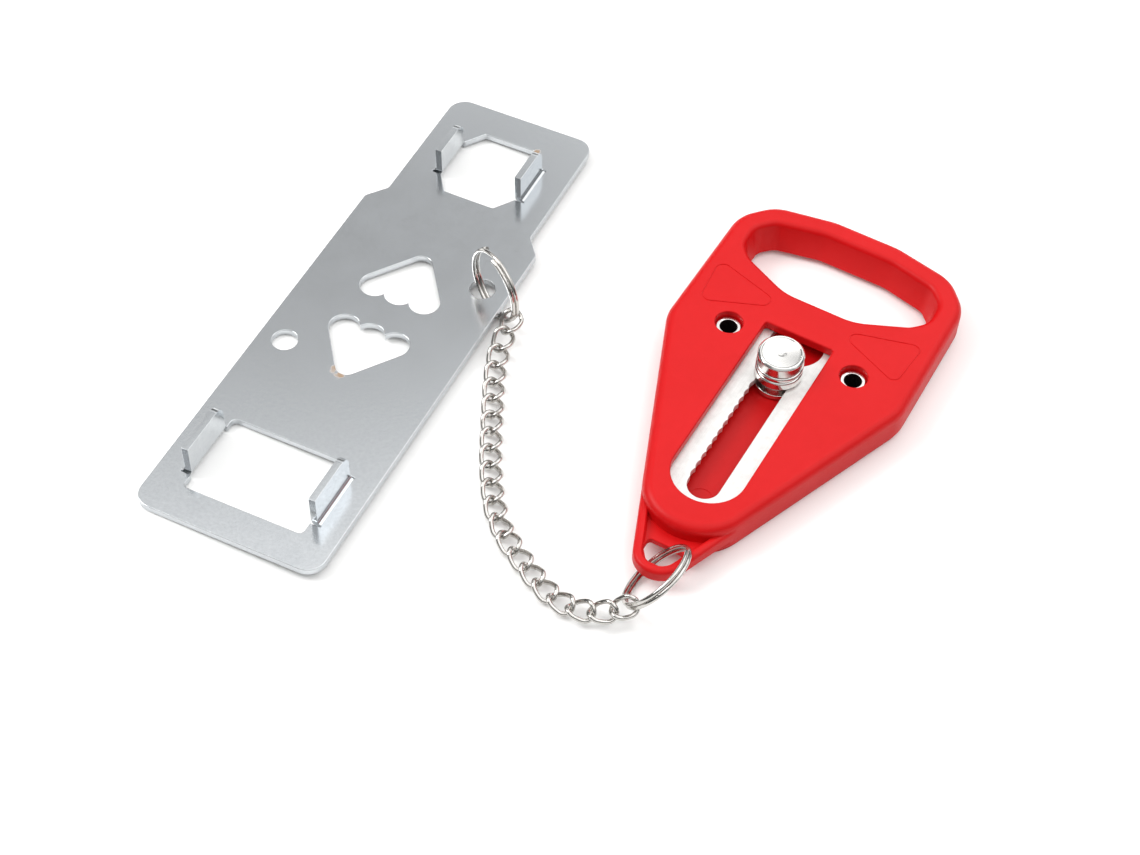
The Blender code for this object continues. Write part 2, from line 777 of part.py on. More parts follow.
def build_chain(first_joint, ring_body):
    """The chain link by link; returns its last body and its last hooking place."""
    shared = wire_tube("chain_link", link_wire(), LINK_WIRE_RADIUS, CUTTERS, cyclic=True)
    mesh = shared.data
    bpy.data.objects.remove(shared, do_unlink=True)
    mesh.materials.append(MATERIALS["chain"])
    mesh.shade_smooth()
    joint = first_joint
    parent = ring_body
    for number in range(1, len(LINK_HEADINGS) + 1):
        link = new_object(f"chain_link_{number:02d}", mesh, PARTS)
        link.parent = parent
        link.matrix_world = link_matrix(number, joint)
        bpy.context.view_layer.update()
        joint = joint + link_direction(number) * link_pitch()
        parent = link
    return parent, joint


# Grip

def grip_taper():
    """Angle in radians between a tapering side, from the round tip to the widest place, and the centreline."""
    run = GRIP_WIDEST_ALONG - TIP_CENTRE
    return math.atan2(GRIP_HALF_WIDTH, run) - math.asin(TIP_RADIUS / math.hypot(GRIP_HALF_WIDTH, run))


def taper_apex(inset=0.0):
    """Where the two tapering sides of the grip would meet on its centreline."""
    return TIP_CENTRE + (inset - TIP_RADIUS) / math.sin(grip_taper())


def taper_side_along(half_width, inset=0.0):
    """Where a tapering side reaches a half width."""
    return taper_apex(inset) + half_width / math.tan(grip_taper())


def body_tip_centre():
    """Centre of the round end of the grip's raised body, on its centreline."""
    return taper_apex() + BODY_TIP_RADIUS / math.sin(grip_taper())


def grip_corners():
    """Corners of the grip's outer edge."""
    return mirrored([
        (0.0, taper_apex(), TIP_RADIUS, TIP_STEPS),
        (GRIP_HALF_WIDTH, taper_side_along(GRIP_HALF_WIDTH), GRIP_SIDE_RADIUS),
        (GRIP_SHOULDER_SIDE, GRIP_SHOULDER_ALONG, GRIP_BROW_RADIUS),
        (GRIP_BROW_SIDE, GRIP_BROW_ALONG, GRIP_BROW_RADIUS),
        (GRIP_CREST_SIDE, GRIP_CREST_ALONG, GRIP_CREST_RADIUS),
    ])


def finger_corners():
    """Corners of the finger opening."""
    return mirrored([
        (FINGER_NEAR_SIDE, FINGER_NEAR, FINGER_NEAR_RADIUS),
        (FINGER_FLANK_SIDE, FINGER_FLANK_ALONG, FINGER_CORNER_RADIUS),
        (FINGER_HALF_WIDTH, FINGER_SIDE_START, FINGER_CORNER_RADIUS),
        (FINGER_HALF_WIDTH, FINGER_SIDE_END, FINGER_CORNER_RADIUS),
        (FINGER_BROW_SIDE, FINGER_BROW_ALONG, FINGER_CORNER_RADIUS),
        (FINGER_FAR_SIDE, FINGER_FAR, FINGER_NEAR_RADIUS),
    ])


def shell_corners(inset):
    """Corners of the grip's hollow, or of its cover, at an inset from the grip's sides."""
    half = GRIP_HALF_WIDTH - inset
    end = FINGER_NEAR - inset
    return mirrored([
        (0.0, taper_apex(inset), BODY_TIP_RADIUS - inset, TIP_STEPS),
        (half, taper_side_along(half, inset), GRIP_SIDE_RADIUS - inset),
        (half, end, POCKET_CORNER_RADIUS),
    ])


def filleted_sections(corners, bottom, top, bottom_fillet, top_fillet, outward=1.0):
    """Sections of an upright solid whose lower and upper edges are rounded, or flared by outward -1."""
    low = list(reversed(fillet_levels(bottom, bottom_fillet, -1.0)))
    high = fillet_levels(top, top_fillet, 1.0)
    return [
        at_height(rounded_outline(corners, outward * inset), height)
        for height, inset in low + high]


def body_end_cutter():
    """Space above the lanyard loop, ending in the rounded end of the raised body."""
    centre = (0.0, body_tip_centre())
    taper = math.degrees(grip_taper())
    levels = [(LOOP_TOP, 0.0)] + fillet_levels(GRIP_TOP, GRIP_TOP_FILLET, 1.0)
    levels.append((GRIP_TOP + OVERRUN, GRIP_TOP_FILLET))
    far = BODY_TIP_RADIUS + TIP_RADIUS
    low = centre[1] - 2.0 * far
    outside = [
        polar(centre, far, 180.0 + taper),
        (-2.0 * far, low),
        (2.0 * far, low),
        polar(centre, far, 360.0 - taper),
    ]
    sections = []
    for height, inset in levels:
        edge = arc(centre, BODY_TIP_RADIUS - inset, 360.0 - taper, 180.0 + taper, TIP_STEPS)
        sections.append(at_height(edge + outside, height))
    return loft("body_end_cutter", sections, CUTTERS)


def loop_recess_cutter():
    """Shallow recess in the top of the loop, inside its rails."""
    corners = mirrored([
        (0.0, taper_apex(LOOP_RAIL), TIP_RADIUS - LOOP_RAIL, TIP_STEPS),
        (GRIP_HALF_WIDTH / 2.0, taper_side_along(GRIP_HALF_WIDTH / 2.0, LOOP_RAIL), LOOP_RAIL),
    ])
    blank = flat_solid("loop_recess_cutter", [rounded_outline(corners)], LOOP_FLOOR, LOOP_TOP + OVERRUN, CUTTERS)
    keep = flat_solid(
        "loop_recess_end", [circle(0.0, body_tip_centre(), BODY_TIP_RADIUS)],
        LOOP_FLOOR - OVERRUN, LOOP_TOP + 2.0 * OVERRUN, CUTTERS)
    cut(blank, keep)
    return blank, keep


def loop_hole_outline():
    """Through hole of the lanyard loop."""
    half = LOOP_HOLE_HALF_WIDTH
    return rounded_outline(mirrored([
        (half / 2.0, LOOP_HOLE_FAR, LOOP_HOLE_RADIUS),
        (half, (LOOP_HOLE_NEAR + LOOP_HOLE_FAR) / 2.0, LOOP_HOLE_RADIUS / 2.0),
        (half, LOOP_HOLE_NEAR, LOOP_HOLE_RADIUS / 2.0),
    ]))


def loop_underside_cutter():
    """Space under the lanyard loop, which leaves room for the split ring."""
    reach = 2.0 * GRIP_HALF_WIDTH
    start = body_tip_centre() - BODY_TIP_RADIUS
    outline = [(-reach, taper_apex()), (reach, taper_apex()), (reach, start), (-reach, start)]
    return flat_solid("loop_underside_cutter", [outline], GRIP_BOTTOM - OVERRUN, LOOP_BOTTOM, CUTTERS)


def triangle_groove(name, side):
    """Thin groove that outlines a triangle beside the finger opening."""
    points = [((GRIP_HALF_WIDTH - inset) * side, along) for inset, along in TRIANGLE_CORNERS]
    if side < 0.0:
        points.reverse()
    area = sum(
        first[0] * second[1] - second[0] * first[1] for first, second in zip(points, points[1:] + points[:1]))
    if area < 0.0:
        points.reverse()
    corners = [(x, y, TRIANGLE_RADIUS) for x, y in points]
    outlines = [rounded_outline(corners), rounded_outline(corners, TRIANGLE_LINE)]
    return flat_solid(name, outlines, GRIP_TOP - TRIANGLE_DEPTH, GRIP_TOP + OVERRUN, CUTTERS)


def rivet_places():
    """Names and side offsets of the two rivets."""
    return (("left", -RIVET_SIDE), ("right", RIVET_SIDE))


def disc(name, x, y, radius, bottom, top):
    """A round construction solid."""
    return flat_solid(name, [circle(x, y, radius)], bottom, top, CUTTERS)


def build_housing(body):
    """The moulded grip."""
    housing = loft(
        "grip_housing",
        filleted_sections(grip_corners(), GRIP_BOTTOM, GRIP_TOP, GRIP_BOTTOM_FILLET, GRIP_TOP_FILLET),
        PARTS)
    finger_levels = filleted_sections(
        finger_corners(), GRIP_BOTTOM, GRIP_TOP, FINGER_BOTTOM_FILLET, FINGER_TOP_FILLET, -1.0)
    lowest = [(x, y, GRIP_BOTTOM - OVERRUN) for x, y, _ in finger_levels[0]]
    highest = [(x, y, GRIP_TOP + OVERRUN) for x, y, _ in finger_levels[-1]]
    finger = loft("finger_cutter", [lowest] + finger_levels + [highest], CUTTERS)
    pocket = flat_solid(
        "pocket_cutter", [rounded_outline(shell_corners(SHELL_WALL))],
        GRIP_BOTTOM - OVERRUN, POCKET_CEILING, CUTTERS)
    window_sections = []
    for height, outset in (
            (POCKET_CEILING - OVERRUN, 0.0),
            (GRIP_TOP - WINDOW_FILLET, 0.0),
            (GRIP_TOP, WINDOW_FILLET),
            (GRIP_TOP + OVERRUN, WINDOW_FILLET)):
        outline = slot_outline(
            WINDOW_HALF_WIDTH, WINDOW_ROUND_CENTRE, WINDOW_END, WINDOW_CORNER_RADIUS, outset)
        window_sections.append(at_height(outline, height))
    window = loft("window_cutter", window_sections, CUTTERS)
    recess, recess_end = loop_recess_cutter()
    hole = flat_solid(
        "loop_hole_cutter", [loop_hole_outline()], LOOP_BOTTOM - OVERRUN, LOOP_TOP + OVERRUN, CUTTERS)
    body_end = body_end_cutter()
    underside = loop_underside_cutter()
    grooves = [triangle_groove("triangle_left", -1.0), triangle_groove("triangle_right", 1.0)]
    solids = [finger, pocket, window, recess, recess_end, hole, body_end, underside] + grooves
    for cutter in (finger, pocket, body_end, underside, recess, hole, window, *grooves):
        cut(housing, cutter)
    for hand, side in rivet_places():
        boss = disc(
            f"housing_boss_{hand}", side, 0.0, RIVET_BOSS_RADIUS,
            COVER_RIM_TOP + TOUCH_GAP, (POCKET_CEILING + GRIP_TOP) / 2.0)
        join(housing, boss)
        bore = disc(
            f"housing_bore_{hand}", side, 0.0, RIVET_BARREL_RADIUS + METAL_GAP,
            COVER_RIM_TOP, GRIP_TOP + OVERRUN)
        cut(housing, bore)
        seat = disc(
            f"housing_seat_{hand}", side, 0.0, COUNTERBORE_RADIUS, COUNTERBORE_FLOOR, GRIP_TOP + OVERRUN)
        cut(housing, seat)
        solids += [boss, bore, seat]
    set_on(solids, body)
    return finish_part(housing, MATERIALS["grip"], body)


def channel_outline(clearance):
    """Keyhole outline of the cover's channel, which the knob's foot runs in."""
    half = FOOT_RADIUS + clearance
    radius = KEYHOLE_RADIUS
    swing = math.degrees(math.asin(half / radius))
    points = arc((0.0, SLOT_ROUND_CENTRE), half, 180.0, 360.0, END_STEPS)
    points += arc((0.0, KEYHOLE_CENTRE), radius, -90.0 + swing, 270.0 - swing, END_STEPS)
    return points


def tray_outline(side):
    """Hollow of the cover beside its channel."""
    inner = FOOT_RADIUS + 2.0 * TOUCH_GAP + COVER_RAIL
    inset = SHELL_WALL + TOUCH_GAP + COVER_RIM
    outer = GRIP_HALF_WIDTH - inset
    end = FINGER_NEAR - inset
    corners = [
        (inner, taper_side_along(inner, inset), COVER_RIM / 4.0),
        (outer, taper_side_along(outer, inset), COVER_RIM),
        (outer, end, COVER_RIM),
        (inner, end, COVER_RIM),
    ]
    if side < 0.0:
        corners = [(-x, y, radius) for x, y, radius in reversed(corners)]
    return rounded_outline(corners)


def build_cover(body):
    """The tray that closes the grip from below."""
    cover = flat_solid(
        "back_cover", [rounded_outline(shell_corners(COVER_FLANGE_INSET))], 0.0, COVER_FLANGE_TOP, PARTS)
    plug = flat_solid(
        "cover_plug", [rounded_outline(shell_corners(SHELL_WALL + TOUCH_GAP))],
        COVER_FLANGE_TOP / 2.0, COVER_RIM_TOP, CUTTERS)
    join(cover, plug)
    channel = flat_solid(
        "channel_cutter", [channel_outline(2.0 * TOUCH_GAP)], CHANNEL_FLOOR, COVER_RIM_TOP + OVERRUN, CUTTERS)
    mark = disc(
        "ejector_mark", 0.0, EJECTOR_MARK_ALONG, EJECTOR_MARK_RADIUS,
        CHANNEL_FLOOR - EJECTOR_MARK_DEPTH, CHANNEL_FLOOR + OVERRUN)
    trays = [
        flat_solid(f"tray_{hand}", [tray_outline(side)], COVER_TRAY_FLOOR, COVER_RIM_TOP + OVERRUN, CUTTERS)
        for hand, side in (("left", -1.0), ("right", 1.0))]
    for cutter in (channel, mark, *trays):
        cut(cover, cutter)
    solids = [plug, channel, mark] + trays
    for hand, side in rivet_places():
        boss = disc(
            f"cover_boss_{hand}", side, 0.0, RIVET_BOSS_RADIUS, COVER_TRAY_FLOOR / 2.0, COVER_RIM_TOP)
        join(cover, boss)
        bore = disc(
            f"cover_bore_{hand}", side, 0.0, RIVET_BARREL_RADIUS + METAL_GAP,
            -OVERRUN, COVER_RIM_TOP + OVERRUN)
        cut(cover, bore)
        seat = disc(
            f"cover_seat_{hand}", side, 0.0, COUNTERBORE_RADIUS, -OVERRUN, COVER_COUNTERBORE)
        cut(cover, seat)
        solids += [boss, bore, seat]
    set_on(solids, body)
    return finish_part(cover, MATERIALS["grip"], body)


def slot_opening():
    """Keyhole slot with scallops along its left side."""
    half = SLOT_HALF_WIDTH
    swing = math.degrees(math.asin(half / KEYHOLE_RADIUS))
    points = arc((0.0, SLOT_ROUND_CENTRE), half, 180.0, 360.0, END_STEPS)
    points += arc((0.0, KEYHOLE_CENTRE), KEYHOLE_RADIUS, -90.0 + swing, 270.0 - swing, END_STEPS + CORNER_STEPS)
    chord = SCALLOP_PITCH / 2.0
    radius = (chord ** 2 + SCALLOP_DEPTH ** 2) / (2.0 * SCALLOP_DEPTH)
    swing = math.degrees(math.asin(chord / radius))
    for index in range(SCALLOP_COUNT):
        middle = SCALLOP_START - SCALLOP_PITCH * (index + 0.5)
        bite = arc((radius - SCALLOP_DEPTH - half, middle), radius, 180.0 - swing, 180.0 + swing, SCALLOP_STEPS)
        points += bite if index == 0 else bite[1:]
    return points


def build_slot_plate(body):
    """The steel plate under the window."""
    outer = slot_outline(
        SLOT_PLATE_HALF_WIDTH, WINDOW_ROUND_CENTRE, SLOT_PLATE_END, SLOT_PLATE_CORNER_RADIUS)
    plate = flat_solid("slot_plate", [outer, slot_opening()], SLOT_PLATE_BOTTOM, SLOT_PLATE_TOP, PARTS)
    return finish_part(plate, MATERIALS["slot"], body)


def build_rivet(hand, side, body):
    """An eyelet that clamps the cover to the grip."""
    flange_bottom = COUNTERBORE_FLOOR + METAL_GAP
    top = flange_bottom + RIVET_FLANGE
    foot_top = COVER_COUNTERBORE - METAL_GAP
    bottom = foot_top - RIVET_FLANGE
    profile = [
        (RIVET_BORE_RADIUS, top),
        (RIVET_FLANGE_RADIUS, top),
        (RIVET_FLANGE_RADIUS, flange_bottom),
        (RIVET_BARREL_RADIUS, flange_bottom),
        (RIVET_BARREL_RADIUS, foot_top),
        (RIVET_FLANGE_RADIUS, foot_top),
        (RIVET_FLANGE_RADIUS, bottom),
        (RIVET_BORE_RADIUS, bottom),
    ]
    rivet = turned(f"eyelet_rivet_{hand}", profile, PARTS, closed=True)
    finish_part(rivet, MATERIALS["knob"], body)
    rivet.location.x = side
    return rivet


# Knob

def build_bush(body):
    """The spool that runs in the slot, bored for the stem and its spring."""
    profile = [
        (BOSS_RADIUS + METAL_GAP, BUSH_TOP),
        (BUSH_RADIUS - BUSH_EDGE, BUSH_TOP),
        (BUSH_RADIUS, BUSH_TOP - BUSH_EDGE),
        (BUSH_RADIUS, SLOT_PLATE_TOP + METAL_GAP + BUSH_EDGE),
        (BUSH_RADIUS - BUSH_EDGE, SLOT_PLATE_TOP + METAL_GAP),
        (NECK_RADIUS, SLOT_PLATE_TOP + METAL_GAP),
        (NECK_RADIUS, FOOT_TOP),
        (FOOT_RADIUS, FOOT_TOP),
        (FOOT_RADIUS, FOOT_BOTTOM),
        (SPRING_CHAMBER_RADIUS, FOOT_BOTTOM),
        (SPRING_CHAMBER_RADIUS, SPRING_CHAMBER_TOP),
        (STEM_RADIUS + METAL_GAP, SPRING_CHAMBER_TOP),
        (STEM_RADIUS + METAL_GAP, LEDGE_TOP),
        (BOSS_RADIUS + METAL_GAP, LEDGE_TOP),
    ]
    return finish_part(turned("guide_bush", profile, PARTS, closed=True), MATERIALS["knob"], body)


def build_washer(body):
    """The washer that the cap sits on."""
    profile = [
        (BOSS_RADIUS + METAL_GAP, WASHER_TOP),
        (BUSH_RADIUS - BUSH_EDGE, WASHER_TOP),
        (BUSH_RADIUS, WASHER_TOP - BUSH_EDGE),
        (BUSH_RADIUS, WASHER_BOTTOM + BUSH_EDGE),
        (BUSH_RADIUS - BUSH_EDGE, WASHER_BOTTOM),
        (BOSS_RADIUS + METAL_GAP, WASHER_BOTTOM),
    ]
    return finish_part(turned("flange_washer", profile, PARTS, closed=True), MATERIALS["knob"], body)


def build_cap(body):
    """The turned cap with a dished top, its boss reaching down into the bush."""
    dish = CAP_TOP - CAP_DISH_DEPTH
    bore = STEM_RADIUS + METAL_GAP
    profile = [
        (0.0, dish - CAP_DIMPLE_DEPTH),
        (CAP_DIMPLE_RADIUS, dish),
        (CAP_DISH_RADIUS, dish + CAP_DIMPLE_DEPTH),
        (CAP_DISH_RADIUS + CAP_DISH_DEPTH / 2.0, CAP_TOP),
        (CAP_RADIUS - CAP_EDGE, CAP_TOP),
        (CAP_RADIUS, CAP_TOP - CAP_EDGE),
        (CAP_RADIUS, CAP_BOTTOM + BUSH_EDGE),
        (CAP_RADIUS - BUSH_EDGE, CAP_BOTTOM),
        (BOSS_RADIUS, CAP_BOTTOM),
        (BOSS_RADIUS, BOSS_BOTTOM),
        (bore, BOSS_BOTTOM),
        (bore, STEM_TOP + METAL_GAP),
        (0.0, STEM_TOP + METAL_GAP),
    ]
    return finish_part(turned("knob_cap", profile, PARTS), MATERIALS["knob"], body)


def build_stem(body):
    """The stem under the cap."""
    profile = [(0.0, STEM_TOP), (STEM_RADIUS, STEM_TOP), (STEM_RADIUS, STEM_BOTTOM), (0.0, STEM_BOTTOM)]
    return finish_part(turned("knob_stem", profile, PARTS), MATERIALS["knob"], body)


def build_collar(body):
    """The collar on the stem's foot that the spring pushes on."""
    inner = STEM_RADIUS + METAL_GAP
    profile = [
        (inner, COLLAR_TOP), (COLLAR_RADIUS, COLLAR_TOP), (COLLAR_RADIUS, STEM_BOTTOM), (inner, STEM_BOTTOM)]
    return finish_part(turned("stem_collar", profile, PARTS, closed=True), MATERIALS["knob"], body)


def build_spring(body):
    """The spring that draws the cap down."""
    low = COLLAR_TOP + SPRING_END_GAP + SPRING_WIRE_RADIUS
    high = SPRING_CHAMBER_TOP - SPRING_END_GAP - SPRING_WIRE_RADIUS
    steps = SPRING_TURNS * SPRING_STEPS_PER_TURN
    points = []
    for step in range(steps + 1):
        angle = 2.0 * math.pi * SPRING_TURNS * step / steps
        points.append(Vector((
            SPRING_MEAN_RADIUS * math.cos(angle),
            SPRING_MEAN_RADIUS * math.sin(angle),
            low + (high - low) * step / steps)))
    report_least_gap("knob_spring", points, SPRING_WIRE_RADIUS, SPRING_STEPS_PER_TURN)
    spring = wire_tube("knob_spring", points, SPRING_WIRE_RADIUS, PARTS)
    return finish_part(spring, MATERIALS["knob"], body)


# Assembly

def axes_matrix(origin, x_axis, y_axis, z_axis):
    """A frame from its origin and axes."""
    return Matrix.Translation(origin) @ Matrix((x_axis, y_axis, z_axis)).transposed().to_4x4()


def hook_reach():
    """Distance from the middle of a ring's coils to the hooking place of the link round them."""
    wire = ring_coil_pitch() / 2.0 + RING_WIRE_RADIUS + LINK_WIRE_RADIUS + RING_HOOK_GAP
    return wire - link_overlap() / 2.0


def plate_matrix(root):
    """The plate stands on its left edge, tilted about it."""
    edge = Matrix.Translation((-PLATE_WIDTH / 2.0, 0.0, 0.0))
    return root @ edge @ Matrix.Rotation(math.radians(-PLATE_TILT), 4, "Y") @ edge.inverted()


def assemble():
    """Build every piece in order, from the plate to the knob."""
    root = Matrix.Identity(4)
    plate = new_empty("plate_body", plate_matrix(root))
    build_plate(plate)

    # First ring: through the plate's hole, its lowest point on the ground
    chord, upward, normal = ring_axes(PLATE_RING_AZIMUTH, PLATE_RING_LEAN)
    hole_along = HEARTS_MIDDLE + PLATE_HOLE_ALONG
    hole = plate_matrix(root) @ Vector((PLATE_HOLE_SIDE, hole_along, PLATE_SHEET / 2.0))
    height = ring_centre_height(upward, normal)
    clock = clock_at_height(hole.z, height, upward)
    centre = hole - ring_point(RING_MEAN_RADIUS, clock, chord, upward)
    strip = (PLATE_HOLE_SIDE + PLATE_HOLE_DIAMETER / 2.0 + PLATE_WIDTH / 2.0) / 2.0
    pivot = plate_matrix(root) @ Vector((strip, hole_along, PLATE_SHEET / 2.0))
    ring_frame = axes_matrix(pivot, chord, upward, normal)
    ring_body = new_empty("plate_ring_body", ring_frame, plate)
    build_ring("split_ring_plate", ring_body, ring_frame.inverted() @ centre, PLATE_RING_ENDS)

    # Chain, from the first ring's hooking place
    hooked = centre + ring_point(RING_MEAN_RADIUS, PLATE_RING_HOOK, chord, upward)
    last_link, joint = build_chain(hooked - link_direction(1) * hook_reach(), ring_body)

    # Second ring: hooked by the last link, its lowest point on the ground
    chord, upward, normal = ring_axes(GRIP_RING_AZIMUTH, GRIP_RING_LEAN)
    hooked = joint - link_direction(len(LINK_HEADINGS)) * hook_reach()
    centre = hooked - ring_point(RING_MEAN_RADIUS, GRIP_RING_HOOK, chord, upward)
    centre.z = ring_centre_height(upward, normal)
    ring_frame = axes_matrix(joint, chord, upward, normal)
    ring_body = new_empty("grip_ring_body", ring_frame, last_link)
    build_ring("split_ring_grip", ring_body, ring_frame.inverted() @ centre, GRIP_RING_ENDS)

    # Grip, hung on the second ring by its lanyard loop: a hinge where the ring passes, and the grip's own frame
    clock = clock_at_height(GRIP_RING_HEIGHT, centre.z, upward)
    passing = centre + ring_point(RING_MEAN_RADIUS, clock, chord, upward)
    turn = Matrix.Rotation(math.radians(GRIP_AZIMUTH - 90.0), 4, "Z")
    hinge = new_empty("grip_hinge", Matrix.Translation(passing) @ turn, ring_body)
    eye = Vector((GRIP_RING_SIDE, GRIP_RING_ALONG, passing.z))
    grip_frame = hinge.matrix_world @ Matrix.Translation(-eye)
    grip = new_empty("grip_body", grip_frame, hinge)
    build_housing(grip)
    build_cover(grip)
    build_slot_plate(grip)
    for hand, side in rivet_places():
        build_rivet(hand, side, grip)

    # Knob: the slider runs along the grip, and the cap lifts from it
    knob_frame = grip_frame @ Matrix.Translation((0.0, KNOB_REST, 0.0))
    slider = new_empty("knob_slider_body", knob_frame, grip)
    build_bush(slider)
    build_washer(slider)
    build_spring(slider)
    lifter = new_empty("knob_cap_body", knob_frame, slider)
    build_cap(lifter)
    build_stem(lifter)
    build_collar(lifter)
    return plate


def stand_at_origin(top):
    """Shift everything so that the bottom centre of the whole part is the origin."""
    bpy.context.view_layer.update()
    depsgraph = bpy.context.evaluated_depsgraph_get()
    corners = []
    for obj in PARTS.objects:
        if obj.type == "MESH":
            evaluated = obj.evaluated_get(depsgraph)
            corners += [evaluated.matrix_world @ vertex.co for vertex in evaluated.data.vertices]
    low = Vector([min(corner[axis] for corner in corners) for axis in range(3)])
    high = Vector([max(corner[axis] for corner in corners) for axis in range(3)])
    shift = Vector(((low.x + high.x) / 2.0, (low.y + high.y) / 2.0, low.z))
    top.matrix_world = Matrix.Translation(-shift) @ top.matrix_world
    bpy.context.view_layer.update()
    print(f"size {[round(1000.0 * value, 2) for value in high - low]} mm")


clear_scene()
PARTS = new_collection(OBJECT_NAME)
CUTTERS = new_collection("cutters")
MATERIALS = {
    "plate": new_material("zinc_plated_sheet", ZINC, 0.30, 1.0),
    "slot": new_material("plated_slot_steel", ZINC, 0.38, 1.0),
    "chain": new_material("nickel_wire", NICKEL, 0.15, 1.0),
    "knob": new_material("polished_nickel", NICKEL, 0.10, 1.0),
    "grip": new_material("red_moulding", RED, 0.40, 0.0),
}
stand_at_origin(assemble())
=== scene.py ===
"""Portable door lock in its finishes: a zinc-plated strike plate, a curb chain and a red moulded grip.

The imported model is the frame. Each sub-assembly draws its pieces again, more finely, from the same
sizes, and sets them where the frame has them. Lengths are in metres and angles in degrees.
"""

import logging
import math
from dataclasses import dataclass
from enum import Enum

import bmesh
import bpy
from bpy.types import Material, Node, NodeSocket, NodeTree, Object
from mathutils import Matrix, Vector


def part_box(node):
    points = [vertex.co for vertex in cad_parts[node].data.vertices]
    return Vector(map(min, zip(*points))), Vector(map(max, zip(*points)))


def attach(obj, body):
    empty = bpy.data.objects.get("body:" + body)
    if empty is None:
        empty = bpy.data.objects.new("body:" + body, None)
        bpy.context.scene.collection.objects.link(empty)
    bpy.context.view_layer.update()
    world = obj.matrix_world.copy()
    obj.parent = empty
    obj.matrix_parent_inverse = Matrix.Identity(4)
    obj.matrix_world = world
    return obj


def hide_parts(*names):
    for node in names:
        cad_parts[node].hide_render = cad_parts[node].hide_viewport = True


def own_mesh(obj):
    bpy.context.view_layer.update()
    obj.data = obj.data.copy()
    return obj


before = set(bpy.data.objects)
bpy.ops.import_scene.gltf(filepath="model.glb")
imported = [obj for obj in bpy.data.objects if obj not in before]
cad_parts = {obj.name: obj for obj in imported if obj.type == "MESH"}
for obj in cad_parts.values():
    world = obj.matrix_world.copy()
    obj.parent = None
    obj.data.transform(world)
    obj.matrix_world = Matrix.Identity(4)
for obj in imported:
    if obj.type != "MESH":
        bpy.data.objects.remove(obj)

LOG = logging.getLogger("door_lock")

Point = tuple[float, float]
Corner = tuple[float, ...]
Colour = tuple[float, float, float, float]
ORIGIN = (0.0, 0.0, 0.0)
UP = Vector((0.0, 0.0, 1.0))

# Fineness of the meshes, their shading and the edge mask
ROUND_STEPS = 72
CORNER_STEPS = 8
TIP_STEPS = 28
FILLET_STEPS = 6
EASE_STEPS = 3
RIM_STEPS = 2
WIRE_STEPS = 4
LINK_STEPS = 24
WELD_DISTANCE = 0.0000005
SMOOTH_ANGLE = math.radians(40.0)
FLAT_ANGLE = math.radians(0.2)
NORMAL_WEIGHT = 60
EDGE_SAMPLES = 4

# Small distances that the pieces share, and the share of a side that an eased corner may take
OVERRUN = 0.0010
TOUCH_GAP = 0.0003
METAL_GAP = 0.0002
POLISH = 0.00001
EASE_SHARE = 0.4


class Slot(Enum):
    """Material slots of the record."""

    PLATE = "plate_zinc"
    SLOT_PLATE = "slot_steel"
    CHAIN = "chain_nickel"
    KNOB = "knob_nickel"
    GRIP = "grip_red"


class Hand(Enum):
    """Side of the centreline, with its sign along +X."""

    LEFT = -1.0
    RIGHT = 1.0


class Face(Enum):
    """Level face of a piece, with its sign along +Z."""

    LOWER = -1.0
    UPPER = 1.0


class Operation(Enum):
    """What a solid does to a piece."""

    CUT = "DIFFERENCE"
    JOIN = "UNION"


class Way(Enum):
    """Part of a direction that the light of the surroundings varies with."""

    X = 0
    Y = 1
    Z = 2
    BAND = 3


# Outlines in the XY plane, all counterclockwise

def polar(centre: Point, radius: float, degrees: float) -> Point:
    """Return the point at a distance and an angle from a centre."""
    angle = math.radians(degrees)
    return (centre[0] + radius * math.cos(angle), centre[1] + radius * math.sin(angle))


def arc(centre: Point, radius: float, start: float, end: float, steps: int) -> list[Point]:
    """Return the points of an arc from one angle to another, both ends included."""
    return [polar(centre, radius, start + (end - start) * step / steps) for step in range(steps + 1)]


def circle(centre: Point, radius: float) -> list[Point]:
    """Return the points round a circle."""
    return arc(centre, radius, 0.0, 360.0, ROUND_STEPS)[:-1]


def rounded(corners: list[Corner], inset: float = 0.0) -> list[Point]:
    """Round the corners of an outline that is drawn in by an inset.

    Args:
        corners: Each (x, y, radius) or (x, y, radius, steps). A corner without a radius stays sharp.
        inset: Distance that every side moves inwards.

    Returns:
        The points of the outline.
    """
    places = [Vector(corner[:2]) for corner in corners]
    points = []
    for index, (here, corner) in enumerate(zip(places, corners)):
        first = (here - places[index - 1]).normalized()
        second = (places[(index + 1) % len(places)] - here).normalized()
        bisector = Vector((-first.y - second.y, first.x + second.x))
        moved = here + bisector * (2.0 * inset / bisector.length_squared)
        if not corner[2]:
            points.append(tuple(moved))
            continue
        turn = math.atan2(first.cross(second), first.dot(second))
        bend = 1.0 if turn > 0.0 else -1.0
        radius = corner[2] - bend * inset
        start = moved - first * radius * math.tan(abs(turn) / 2.0)
        centre = start + Vector((-first.y, first.x)) * bend * radius
        steps = corner[3] if len(corner) > 3 else CORNER_STEPS
        for step in range(steps + 1):
            points.append(tuple(centre + Matrix.Rotation(turn * step / steps, 2) @ (start - centre)))
    return points


def mirrored(corners: list[Corner]) -> list[Corner]:
    """Complete the right half of a symmetric outline with its mirror image."""
    return corners + [(-corner[0], *corner[1:]) for corner in reversed(corners) if corner[0] > 0.0]


